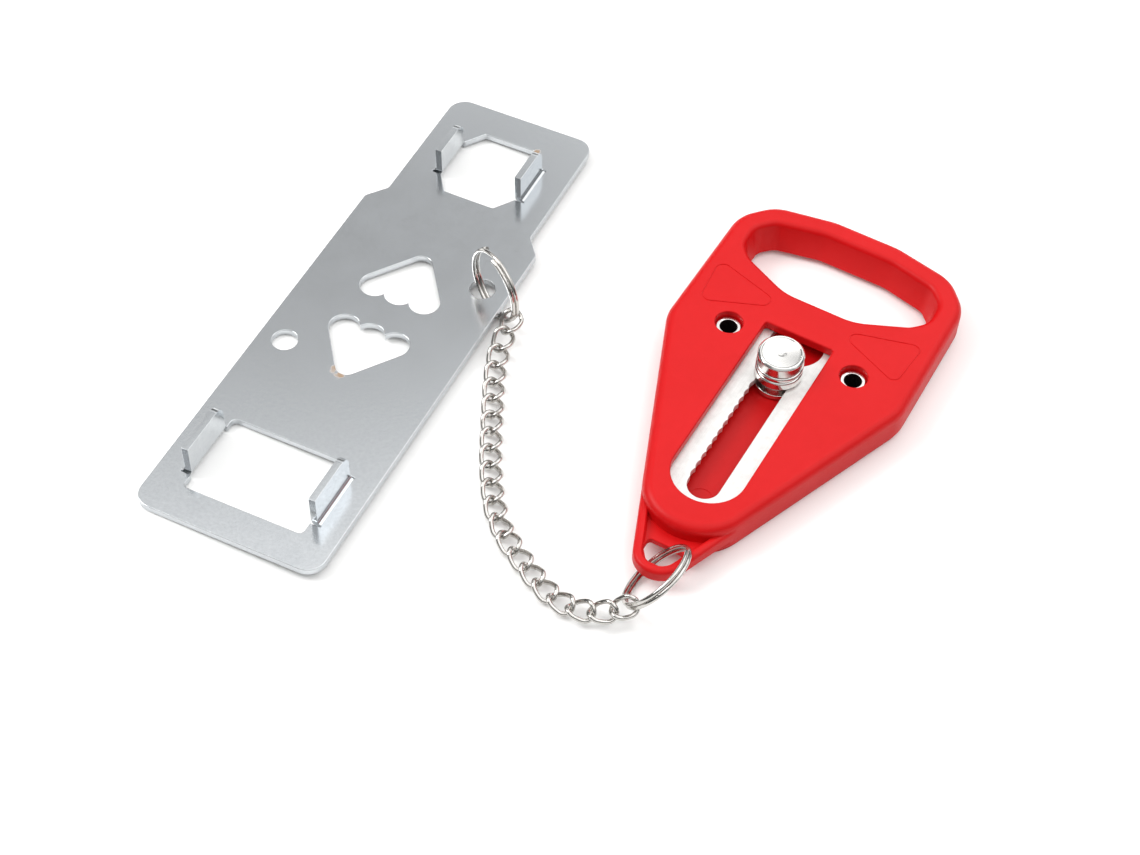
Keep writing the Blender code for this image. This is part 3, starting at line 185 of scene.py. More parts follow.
def eased(profile: list[Point], radius: float, closed: bool) -> list[Point]:
    """Round the corners of a turned profile.

    Args:
        profile: Points as (radius, height).
        radius: Rounding, made smaller beside short sides.
        closed: Whether the last point joins the first.

    Returns:
        The profile with small arcs at its corners.
    """
    count = len(profile)
    points: list[Point] = []
    for index, place in enumerate(profile):
        if not closed and index in (0, count - 1):
            points.append(place)
            continue
        here = Vector(place)
        before = Vector(profile[index - 1]) - here
        after = Vector(profile[(index + 1) % count]) - here
        reach = min(radius, EASE_SHARE * before.length, EASE_SHARE * after.length)
        start = here + before.normalized() * reach
        end = here + after.normalized() * reach
        for step in range(EASE_STEPS + 1):
            share = step / EASE_STEPS
            point = start.lerp(here, share).lerp(here.lerp(end, share), share)
            points.append((max(point.x, 0.0), point.y))
    return points


def fillet(face: Face, height: float, radius: float) -> list[Point]:
    """Return the levels of a rounded edge.

    Args:
        face: The face that the edge bounds.
        height: Height of that face.
        radius: Radius of the rounding.

    Returns:
        Levels as (height, inset), from the lowest up.
    """
    quarter = arc((0.0, 0.0), radius, 0.0, 90.0, FILLET_STEPS)
    levels = [(height - face.value * (radius - y), radius - x) for x, y in quarter]
    return levels if face is Face.UPPER else levels[::-1]


def lip(height: float, radius: float) -> list[Point]:
    """Return the levels of an opening's rounded upper lip, and one above it."""
    levels = [(level, -inset) for level, inset in fillet(Face.UPPER, height, radius)]
    return levels + [(height + OVERRUN, -radius)]


def helix(radius: float, turns: float, steps: int, start: float, ends: Point) -> list[Vector]:
    """Return the centreline of a coil about the Z axis.

    Args:
        radius: Its radius.
        turns: Number of turns.
        steps: Number of stretches.
        start: Angle of the first point.
        ends: Heights of the first and the last point.

    Returns:
        The points.
    """
    low, high = ends
    points = []
    for step in range(steps + 1):
        share = step / steps
        flat = polar((0.0, 0.0), radius, start + 360.0 * turns * share)
        points.append(Vector((*flat, low + (high - low) * share)))
    return points


def frame_at(place: Vector, axes: tuple[Vector, Vector, Vector]) -> Matrix:
    """Return the frame with its origin at a place and with the given axes."""
    return Matrix.Translation(place) @ Matrix(axes).transposed().to_4x4()


# Meshes

def new_object(name: str, data: bpy.types.ID) -> Object:
    """Put a mesh, curve, camera or light into the scene.

    Args:
        name: Name of the object.
        data: What it shows.

    Returns:
        The object.
    """
    obj = bpy.data.objects.new(name, data)
    bpy.context.scene.collection.objects.link(obj)
    return obj


def mesh_object(name: str, work: bmesh.types.BMesh) -> Object:
    """Turn a worked mesh into an object.

    Args:
        name: Name of the object.
        work: The mesh, which is used up.

    Returns:
        The object, its faces turned outwards.
    """
    bmesh.ops.recalc_face_normals(work, faces=work.faces)
    mesh = bpy.data.meshes.new(name)
    work.to_mesh(mesh)
    work.free()
    return new_object(name, mesh)


def bake(obj: Object) -> Object:
    """Turn a curve, or a mesh with modifiers, into a plain welded mesh.

    Args:
        obj: The object, which is removed.

    Returns:
        A new object of the same name.
    """
    bpy.context.view_layer.update()
    mesh = bpy.data.meshes.new_from_object(obj.evaluated_get(bpy.context.evaluated_depsgraph_get()))
    mesh.transform(obj.matrix_world)
    name = obj.name
    bpy.data.objects.remove(obj, do_unlink=True)
    work = bmesh.new()
    work.from_mesh(mesh)
    bpy.data.meshes.remove(mesh)
    bmesh.ops.remove_doubles(work, verts=work.verts, dist=WELD_DISTANCE)
    return mesh_object(name, work)


def poly_curve(name: str, lines: list[list[Corner]], cyclic: bool, **settings: object) -> Object:
    """Make a curve of straight stretches.

    Args:
        name: Name of the object.
        lines: The points of each line.
        cyclic: Whether the lines are closed.
        **settings: Properties of the curve.

    Returns:
        The curve.
    """
    curve = bpy.data.curves.new(name, "CURVE")
    for key, value in settings.items():
        setattr(curve, key, value)
    for line in lines:
        spline = curve.splines.new("POLY")
        spline.points.add(len(line) - 1)
        for point, place in zip(spline.points, line):
            point.co = (*place, 1.0)
        spline.use_cyclic_u = cyclic
    return new_object(name, curve)


def flat_solid(
        name: str, outlines: list[list[Point]], bottom: float, top: float, rim: float = 0.0) -> Object:
    """Make a flat piece from an outline and the outlines of its holes.

    Args:
        name: Name of the object.
        outlines: The outer edge first, then the holes.
        bottom: Height of the lower face.
        top: Height of the upper face.
        rim: Rounding of the edges of both faces.

    Returns:
        The solid.
    """
    ordered = outlines[:1] + [outline[::-1] for outline in outlines[1:]]
    lines = [[(x, y, 0.0) for x, y in outline] for outline in ordered]
    obj = poly_curve(
        name, lines, True, dimensions="2D", fill_mode="BOTH", extrude=(top - bottom) / 2.0 - rim,
        bevel_depth=rim, bevel_resolution=RIM_STEPS, offset=-rim)
    obj.location.z = (top + bottom) / 2.0
    return bake(obj)


def disc(name: str, centre: Point, radius: float, bottom: float, top: float) -> Object:
    """Make a round flat solid between two heights."""
    return flat_solid(name, [circle(centre, radius)], bottom, top)


def wire(name: str, points: list[Vector], radius: float, cyclic: bool = False) -> Object:
    """Make a round wire along points."""
    return bake(poly_curve(
        name, [points], cyclic, dimensions="3D", bevel_depth=radius, bevel_resolution=WIRE_STEPS,
        use_fill_caps=not cyclic))


def bridge(work: bmesh.types.BMesh, rings: list[list[bmesh.types.BMVert]], count: int) -> None:
    """Join rings of vertices by faces.

    Args:
        work: The mesh.
        rings: Rings of count vertices, or of one vertex for a tip.
        count: Number of faces round.
    """
    for first, second in zip(rings, rings[1:]):
        for index in range(count):
            after = (index + 1) % count
            corners = [
                first[index % len(first)], first[after % len(first)],
                second[after % len(second)], second[index % len(second)]]
            unique = list(dict.fromkeys(corners))
            if len(unique) > 2:
                work.faces.new(unique)


def loft(name: str, sections: list[list[Vector]]) -> Object:
    """Make a closed solid through sections that have one count of points each.

    Args:
        name: Name of the object.
        sections: The points of each section, in one order.

    Returns:
        The solid.
    """
    work = bmesh.new()
    rows = [[work.verts.new(point) for point in section] for section in sections]
    bridge(work, rows, len(rows[0]))
    work.faces.new(rows[0][::-1])
    work.faces.new(rows[-1])
    return mesh_object(name, work)


def turned(name: str, profile: list[Point], closed: bool = False, ease: float = 0.0) -> Object:
    """Make a turned solid.

    Args:
        name: Name of the object.
        profile: Points as (radius, height) down its outer side.
        closed: Whether the profile is a ring, for a piece with a bore.
        ease: Rounding of its corners.

    Returns:
        The solid, about the Z axis.
    """
    work = bmesh.new()
    rings = []
    for radius, height in eased(profile, ease, closed) if ease else profile:
        places = circle((0.0, 0.0), radius) if radius > 0.0 else [(0.0, 0.0)]
        rings.append([work.verts.new((x, y, height)) for x, y in places])
    bridge(work, rings + rings[:1] if closed else rings, ROUND_STEPS)
    return mesh_object(name, work)


def combine(obj: Object, others: list[Object], operation: Operation = Operation.CUT) -> Object:
    """Cut other solids from a piece, or join them on.

    Args:
        obj: The piece.
        others: Solids that are used up.
        operation: Whether they cut or join.

    Returns:
        The finished piece.
    """
    for other in others:
        modifier = obj.modifiers.new(other.name, "BOOLEAN")
        modifier.operation = operation.value
        modifier.object = other
        modifier.solver = "EXACT"
    result = bake(obj)
    for other in others:
        bpy.data.objects.remove(other, do_unlink=True)
    return result


def upright(name: str, corners: list[Corner], levels: list[Point]) -> Object:
    """Make an upright solid through levels of (height, inset)."""
    sections = [[Vector((*point, height)) for point in rounded(corners, inset)] for height, inset in levels]
    return loft(name, sections)


def block(name: str, corners: list[Corner], bottom: float, top: float, low: float, high: float) -> Object:
    """Make an upright solid with rounded lower and upper edges of radii low and high."""
    return upright(name, corners, fillet(Face.LOWER, bottom, low) + fillet(Face.UPPER, top, high))


def opening(
        name: str, corners: list[Corner], bottom: float, top: float, low: float, high: float,
        draft: float = 0.0) -> Object:
    """Make the solid that cuts a through opening with rounded lips.

    Args:
        name: Name of the cutter.
        corners: Corners of the opening.
        bottom: Height of the lower face that it passes through.
        top: Height of the upper face.
        low: Radius of the lower lip, or 0 for none.
        high: Radius of the upper lip.
        draft: How far the walls lean in from the upper face to the lower one.

    Returns:
        The cutter, which stands proud of both faces.
    """
    levels = [(bottom - OVERRUN, draft - low)]
    if low:
        levels += [(height, draft - inset) for height, inset in fillet(Face.LOWER, bottom, low)]
    return upright(name, corners, levels + lip(top, high))


# Shaders

class Graph:
    """Short calls for building one node tree."""

    def __init__(self, tree: NodeTree) -> None:
        """Keep the tree and clear it."""
        self.tree = tree
        tree.nodes.clear()

    def add(self, kind: str, inputs: dict | None = None, **settings: object) -> Node:
        """Add a node.

        Args:
            kind: Type of the node.
            inputs: Values or sockets for its inputs, by name or number.
            **settings: Properties of the node.

        Returns:
            The node.
        """
        node = self.tree.nodes.new(kind)
        for name, value in settings.items():
            setattr(node, name, value)
        for key, value in (inputs or {}).items():
            if isinstance(value, NodeSocket):
                self.tree.links.new(value, node.inputs[key])
            else:
                node.inputs[key].default_value = value
        return node

    def math(self, operation: str, first: object, second: object = 0.0) -> NodeSocket:
        """Return the result of a Math node."""
        return self.add("ShaderNodeMath", {0: first, 1: second}, operation=operation).outputs[0]

    def vector(self, operation: str, first: object, second: object) -> Node:
        """Return a Vector Math node."""
        return self.add("ShaderNodeVectorMath", {0: first, 1: second}, operation=operation)

    def total(self, weights: Corner, *parts: NodeSocket) -> NodeSocket:
        """Add up parts.

        Args:
            weights: The value to start from, then the weight of each part.
            *parts: The parts.

        Returns:
            The sum.
        """
        level = weights[0]
        for weight, part in zip(weights[1:], parts):
            level = self.math("ADD", level, self.math("MULTIPLY", part, weight))
        return level

    def ramp(self, source: NodeSocket, low: float, high: float) -> NodeSocket:
        """Return a value spread smoothly from 0 at low to 1 at high."""
        inputs = {"Value": source, "From Min": low, "From Max": high}
        return self.add("ShaderNodeMapRange", inputs, interpolation_type="SMOOTHSTEP").outputs[0]

    def mix(self, share: object, first: object, second: object) -> NodeSocket:
        """Return a mix of two colours."""
        return self.add("ShaderNodeMix", {0: share, 6: first, 7: second}, data_type="RGBA").outputs[2]

    def noise(self, vector: object, scale: object, detail: float = 3.0) -> NodeSocket:
        """Return the value of a Noise Texture."""
        return self.add("ShaderNodeTexNoise", {"Vector": vector, "Scale": scale, "Detail": detail}).outputs[0]

    def centred_noise(self, vector: object, scale: float) -> NodeSocket:
        """Return noise that wanders about 0."""
        return self.math("SUBTRACT", self.noise(vector, scale), 0.5)

    def close(self, **outputs: NodeSocket) -> NodeTree:
        """Connect a group's outputs, and return its tree."""
        self.add("NodeGroupOutput", outputs)
        return self.tree


def new_group(name: str, outputs: tuple[str, ...], **inputs: object) -> tuple[Graph, list[NodeSocket]]:
    """Start a shader node group.

    Args:
        name: Name of the group.
        outputs: Names of its outputs, which are all values.
        **inputs: Its inputs after Vector, with their defaults: a number, or a 3-tuple for a vector.

    Returns:
        The graph, and the sockets of its inputs.
    """
    tree = bpy.data.node_groups.new(name, "ShaderNodeTree")
    for key, value in {"Vector": ORIGIN, **inputs}.items():
        kind = "NodeSocketVector" if isinstance(value, tuple) else "NodeSocketFloat"
        tree.interface.new_socket(key, in_out="INPUT", socket_type=kind).default_value = value
    for key in outputs:
        tree.interface.new_socket(key, in_out="OUTPUT", socket_type="NodeSocketFloat")
    graph = Graph(tree)
    return graph, graph.add("NodeGroupInput").outputs[:len(inputs) + 1]


def mottle_group() -> NodeTree:
    """Build cloudy variation in two sizes, as Value from 0 to 1.

    Returns:
        The group.
    """
    graph, (vector, scale, contrast) = new_group("mottle", ("Value",), Scale=200.0, Contrast=1.0)
    fineness, fine_detail, shares = 6.5, 4.0, (0.0, 0.65, 0.35)
    fine = graph.noise(vector, graph.math("MULTIPLY", scale, fineness), fine_detail)
    both = graph.total(shares, graph.noise(vector, scale), fine)
    centred = graph.math("MULTIPLY", graph.math("SUBTRACT", both, 0.5), contrast)
    value = graph.add("ShaderNodeClamp", {"Value": graph.math("ADD", centred, 0.5)})
    return graph.close(Value=value.outputs[0])


def brushing_group() -> NodeTree:
    """Build fine lines along the Y axis of the vector, with sparse deeper scratches.

    The slant of the scratches is in radians.

    Returns:
        The group.
    """
    graph, (vector, across, along) = new_group(
        "brushing", ("Lines", "Scratches"), Across=9000.0, Along=120.0)
    slant, scratch_scale, scratch_range = 0.35, (2600.0, 45.0, 2600.0), (0.70, 0.78)
    stretch = graph.add("ShaderNodeCombineXYZ", {0: across, 1: along, 2: across}).outputs[0]
    lines = graph.noise(graph.vector("MULTIPLY", vector, stretch).outputs[0], 1.0)
    slanted = graph.add("ShaderNodeVectorRotate", {"Vector": vector, "Angle": slant}, rotation_type="Z_AXIS")
    thin = graph.vector("MULTIPLY", slanted.outputs[0], scratch_scale).outputs[0]
    return graph.close(Lines=lines, Scratches=graph.ramp(graph.noise(thin, 1.0, 1.0), *scratch_range))


def edge_group() -> NodeTree:
    """Build a mask of the edges, broken up a little where they have been handled.

    Returns:
        The group.
    """
    graph, (vector, reach, amount) = new_group("worn_edge", ("Mask",), Reach=0.0004, Amount=1.0)
    breakup_scale, breakup, bend_range = 600.0, 0.10, (0.05, 0.30)
    worn = graph.add("ShaderNodeBevel", {"Radius": reach}, samples=EDGE_SAMPLES).outputs[0]
    true = graph.add("ShaderNodeNewGeometry").outputs["True Normal"]
    facing = graph.vector("DOT_PRODUCT", worn, true).outputs["Value"]
    bend = graph.total((1.0, -1.0, breakup), facing, graph.centred_noise(vector, breakup_scale))
    return graph.close(Mask=graph.math("MULTIPLY", graph.ramp(bend, *bend_range), amount))


def spot_group() -> NodeTree:
    """Build a ragged spot about a centre, such as a stain, as Mask from 0 to 1.

    Returns:
        The group.
    """
    graph, (vector, centre, radius, ragged) = new_group(
        "spot", ("Mask",), Centre=ORIGIN, Radius=0.002, Ragged=0.6)
    wander_scale, edge_range = 900.0, (1.0, 0.25)
    share = graph.math("DIVIDE", graph.vector("DISTANCE", vector, centre).outputs["Value"], radius)
    wander = graph.math("MULTIPLY", graph.centred_noise(vector, wander_scale), ragged)
    return graph.close(Mask=graph.ramp(graph.total((0.0, 1.0, 2.0), share, wander), *edge_range))


class Surface(Graph):
    """Node tree of a material whose texture is fixed to its piece."""

    def __init__(self, name: str, groups: dict[str, NodeTree], place: Matrix) -> None:
        """Start the material.

        Args:
            name: Name of the material.
            groups: The node groups that several materials place, by name.
            place: Frame that the piece is drawn in.
        """
        self.material = bpy.data.materials.new(name)
        self.material.use_nodes = True
        super().__init__(self.material.node_tree)
        self.groups = groups
        inverse = place.inverted()
        self.own = self.add("ShaderNodeMapping", {
            "Vector": self.add("ShaderNodeTexCoord").outputs["Object"],
            "Location": inverse.translation, "Rotation": inverse.to_euler()}).outputs[0]

    def place(self, group: str, **inputs: object) -> Node:
        """Place a group with values of its own."""
        return self.add("ShaderNodeGroup", {"Vector": self.own, **inputs}, node_tree=self.groups[group])

    def mottle(self, scale: float, contrast: float) -> NodeSocket:
        """Return cloudy variation."""
        return self.place("mottle", Scale=scale, Contrast=contrast).outputs[0]

    def brushing(self, across: float, along: float) -> tuple[NodeSocket, NodeSocket]:
        """Return fine lines and scratches."""
        return tuple(self.place("brushing", Across=across, Along=along).outputs)

    def worn_edge(self, reach: float, amount: float) -> NodeSocket:
        """Return the mask of the worn edges."""
        return self.place("worn_edge", Reach=reach, Amount=amount).outputs[0]

    def finish(self, relief: NodeSocket, bump: Point, **inputs: object) -> Material:
        """Add the bump, the Principled BSDF and the output.

        Args:
            relief: Height of the bump.
            bump: Its strength and distance.
            **inputs: Inputs of the shader, with _ where the socket has a space.

        Returns:
            The material.
        """
        normal = self.add("ShaderNodeBump", {"Height": relief, "Strength": bump[0], "Distance": bump[1]})
        values = {key.replace("_", " "): value for key, value in inputs.items()}
        shader = self.add("ShaderNodeBsdfPrincipled", {**values, "Normal": normal.outputs[0]})
        self.add("ShaderNodeOutputMaterial", {"Surface": shader.outputs[0]})
        return self.material


@dataclass(frozen=True)
class Finish:
    """What all the finishes have.

    A mottle is its scale and contrast, brushing its fineness across and along, wear its reach and
    amount, and a bump its strength and distance. Weights start with a plain value, and then have what
    each part of the texture adds.
    """

    name: str

    def build(self, groups: dict[str, NodeTree], place: Matrix) -> Material:
        """Make the material for pieces that are drawn in a frame."""
        return self.paint(Surface(self.name, groups, place))


@dataclass(frozen=True)
class ZincFinish(Finish):
    """Bright zinc plating over pressed sheet, with faint rolling lines, worn edges and a few stains."""

    name: str = "zinc_plating"
    colour: Colour = (0.730, 0.755, 0.775, 1.0)
    clouded: Colour = (0.545, 0.570, 0.593, 1.0)
    worn: Colour = (0.760, 0.775, 0.785, 1.0)
    rust: Colour = (0.330, 0.190, 0.085, 1.0)
    cloud: Point = (110.0, 1.8)
    grain: Point = (1500.0, 2.6)
    rolling: Point = (5200.0, 60.0)
    wear: Point = (0.0003, 0.8)
    stains: tuple[Corner, ...] = (
        (-0.0019, 0.0476, 0.0012, 0.0014),
        (-0.0002, 0.0467, 0.0012, 0.0013),
        (0.0068, 0.1240, 0.0012, 0.0012))
    ragged: float = 0.8
    rust_cover: float = 0.85
    tone: Corner = (0.0, 0.5, 0.5)
    metallic: Corner = (1.0, -0.8)
    roughness: Corner = (0.12, 0.06, 0.06, 0.35)
    relief: Corner = (0.0, 1.0, 0.35)
    bump: Point = (0.05, 0.00004)

    def paint(self, graph: Surface) -> Material:
        """Connect the textures.

        Args:
            graph: The surface to paint.

        Returns:
            Its material.
        """
        cloud = graph.mottle(*self.cloud)
        grain = graph.mottle(*self.grain)
        colour = graph.mix(graph.total(self.tone, cloud, grain), self.colour, self.clouded)
        colour = graph.mix(graph.worn_edge(*self.wear), colour, self.worn)
        rust = None
        for *centre, radius in self.stains:
            spot = graph.place("spot", Centre=centre, Radius=radius, Ragged=self.ragged).outputs[0]
            rust = graph.math("MAXIMUM", rust, spot) if rust else spot
        return graph.finish(
            graph.total(self.relief, grain, graph.brushing(*self.rolling)[0]), self.bump,
            Base_Color=graph.mix(graph.math("MULTIPLY", rust, self.rust_cover), colour, self.rust),
            Metallic=graph.total(self.metallic, rust),
            Roughness=graph.total(self.roughness, cloud, grain, rust))


@dataclass(frozen=True)
class SlotSteelFinish(Finish):
    """Pale plated sheet, brushed along the slot."""

    name: str = "slot_plate_steel"
    colour: Colour = (0.900, 0.905, 0.890, 1.0)
    shade: Colour = (0.620, 0.620, 0.600, 1.0)
    cloud: Point = (700.0, 2.4)
    brush: Point = (7000.0, 90.0)
    tone: Corner = (0.0, 0.5, 0.5)
    metallic: float = 0.62
    roughness: Corner = (0.36, 0.14)
    bump: Point = (0.18, 0.00003)

    def paint(self, graph: Surface) -> Material:
        """Connect the textures.

        Args:
            graph: The surface to paint.

        Returns:
            Its material.
        """
        lines, scratches = graph.brushing(*self.brush)
        tone = graph.total(self.tone, graph.mottle(*self.cloud), lines)
        return graph.finish(
            graph.math("SUBTRACT", lines, scratches), self.bump, Metallic=self.metallic,
            Base_Color=graph.mix(tone, self.colour, self.shade), Roughness=graph.total(self.roughness, tone))


@dataclass(frozen=True)
class NickelWireFinish(Finish):
    """Polished nickel plate on drawn wire, a little dull in cloudy patches."""

    name: str = "nickel_wire"
    colour: Colour = (0.590, 0.573, 0.548, 1.0)
    shade: Colour = (0.280, 0.252, 0.224, 1.0)
    cloud: Point = (420.0, 2.6)
    grain: Point = (2600.0, 1.5)
    dull_range: Point = (0.62, 0.95)
    dull_cover: float = 0.7
    roughness: Corner = (0.11, 0.18, 0.05)
    bump: Point = (0.12, 0.00003)

    def paint(self, graph: Surface) -> Material:
        """Connect the textures.

        Args:
            graph: The surface to paint.

        Returns:
            Its material.
        """
        grain = graph.mottle(*self.grain)
        dull = graph.ramp(graph.mottle(*self.cloud), *self.dull_range)
        return graph.finish(
            grain, self.bump, Metallic=1.0, Roughness=graph.total(self.roughness, dull, grain),
            Base_Color=graph.mix(graph.math("MULTIPLY", dull, self.dull_cover), self.colour, self.shade))


@dataclass(frozen=True)
class TurnedNickelFinish(Finish):
    """Turned and polished nickel with fine lathe rings about the piece's axis, and painted shade, near black,
    inside the bore.
    """

    name: str = "turned_nickel"
    colour: Colour = (0.840, 0.835, 0.815, 1.0)
    shade: Colour = (0.680, 0.660, 0.635, 1.0)
    bore_painted_shade: Colour = (0.030, 0.022, 0.020, 1.0)
    pitch: float = 0.00016
    bore: float = 0.0
    bore_blur: float = 0.0001
    cloud: Point = (700.0, 1.6)
    tone: Corner = (0.0, 0.35, 0.35)
    roughness: Corner = (0.10, 0.08, 0.5)
    bump: Point = (0.10, 0.00002)

    def paint(self, graph: Surface) -> Material:
        """Connect the textures.

        Args:
            graph: The surface to paint.

        Returns:
            Its material.
        """
        flat = graph.vector("MULTIPLY", graph.own, (1.0, 1.0, 0.0)).outputs[0]
        radius = graph.vector("DISTANCE", flat, ORIGIN).outputs["Value"]
        wave = graph.math("SINE", graph.math("MULTIPLY", radius, 2.0 * math.pi / self.pitch))
        rings = graph.total((0.5, 0.5), wave)
        cloud = graph.mottle(*self.cloud)
        # Painted shade: within the bore's radius the colour goes near black, for the deep hole that light
        # does not reach.
        inner = graph.ramp(radius, self.bore + self.bore_blur, self.bore)
        colour = graph.mix(graph.total(self.tone, rings, cloud), self.colour, self.shade)
        return graph.finish(
            rings, self.bump, Base_Color=graph.mix(inner, colour, self.bore_painted_shade), Metallic=1.0,
            Roughness=graph.total(self.roughness, cloud, inner))


@dataclass(frozen=True)
class RedMouldingFinish(Finish):
    """Semi-gloss red moulding with a fine texture, flow clouds and slightly rubbed edges."""

    name: str = "red_moulding"
    colour: Colour = (0.660, 0.005, 0.007, 1.0)
    deep: Colour = (0.590, 0.003, 0.004, 1.0)
    rubbed: Colour = (0.720, 0.010, 0.011, 1.0)
    cloud: Point = (70.0, 1.6)
    grain: Point = (1800.0, 1.4)
    wear: Point = (0.0006, 0.6)
    roughness: Corner = (0.34, 0.07, 0.08)
    bump: Point = (0.35, 0.00006)
    refraction: float = 1.45
    gloss: float = 0.26

    def paint(self, graph: Surface) -> Material:
        """Connect the textures.

        Args:
            graph: The surface to paint.

        Returns:
            Its material.
        """
        cloud = graph.mottle(*self.cloud)
        grain = graph.mottle(*self.grain)
        colour = graph.mix(cloud, self.colour, self.deep)
        return graph.finish(
            grain, self.bump, Base_Color=graph.mix(graph.worn_edge(*self.wear), colour, self.rubbed),
            Roughness=graph.total(self.roughness, cloud, grain), IOR=self.refraction,
            Specular_IOR_Level=self.gloss)


# Sub-assemblies

@dataclass
class SubAssembly:
    """Pieces of one material that are drawn in one frame and carried by one body.

    The slot is the one of the record that their finish comes from; it is not used.
    """

    place: Matrix
    body: str
    slot: Slot
    material: Material

    def settle(self, obj: Object, node: str, sheet: bool = False) -> None:
        """Smooth a piece, give it its material and set it on its body.

        Args:
            obj: The piece, drawn in the sub-assembly's frame.
            node: CAD node that it stands for.
            sheet: Whether its level faces are shaded flat, as those of rolled sheet are.
        """
        work = bmesh.new()
        work.from_mesh(obj.data)
        bmesh.ops.dissolve_limit(work, angle_limit=FLAT_ANGLE, verts=work.verts, edges=work.edges)
        work.to_mesh(obj.data)
        work.free()
        obj.data.materials.clear()
        obj.data.materials.append(self.material)
        obj.data.shade_smooth()
        if sheet:
            for polygon in obj.data.polygons:
                polygon.use_smooth = abs(polygon.normal.z) < math.cos(FLAT_ANGLE)
        obj.data.transform(self.place)
        obj.data.set_sharp_from_angle(angle=SMOOTH_ANGLE)
        weighted = obj.modifiers.new("weighted normals", "WEIGHTED_NORMAL")
        weighted.keep_sharp = True
        weighted.weight = NORMAL_WEIGHT
        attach(obj, self.body)
        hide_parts(node)
        LOG.info("%s stands for %s on %s, %d faces", obj.name, node, self.body, len(obj.data.polygons))


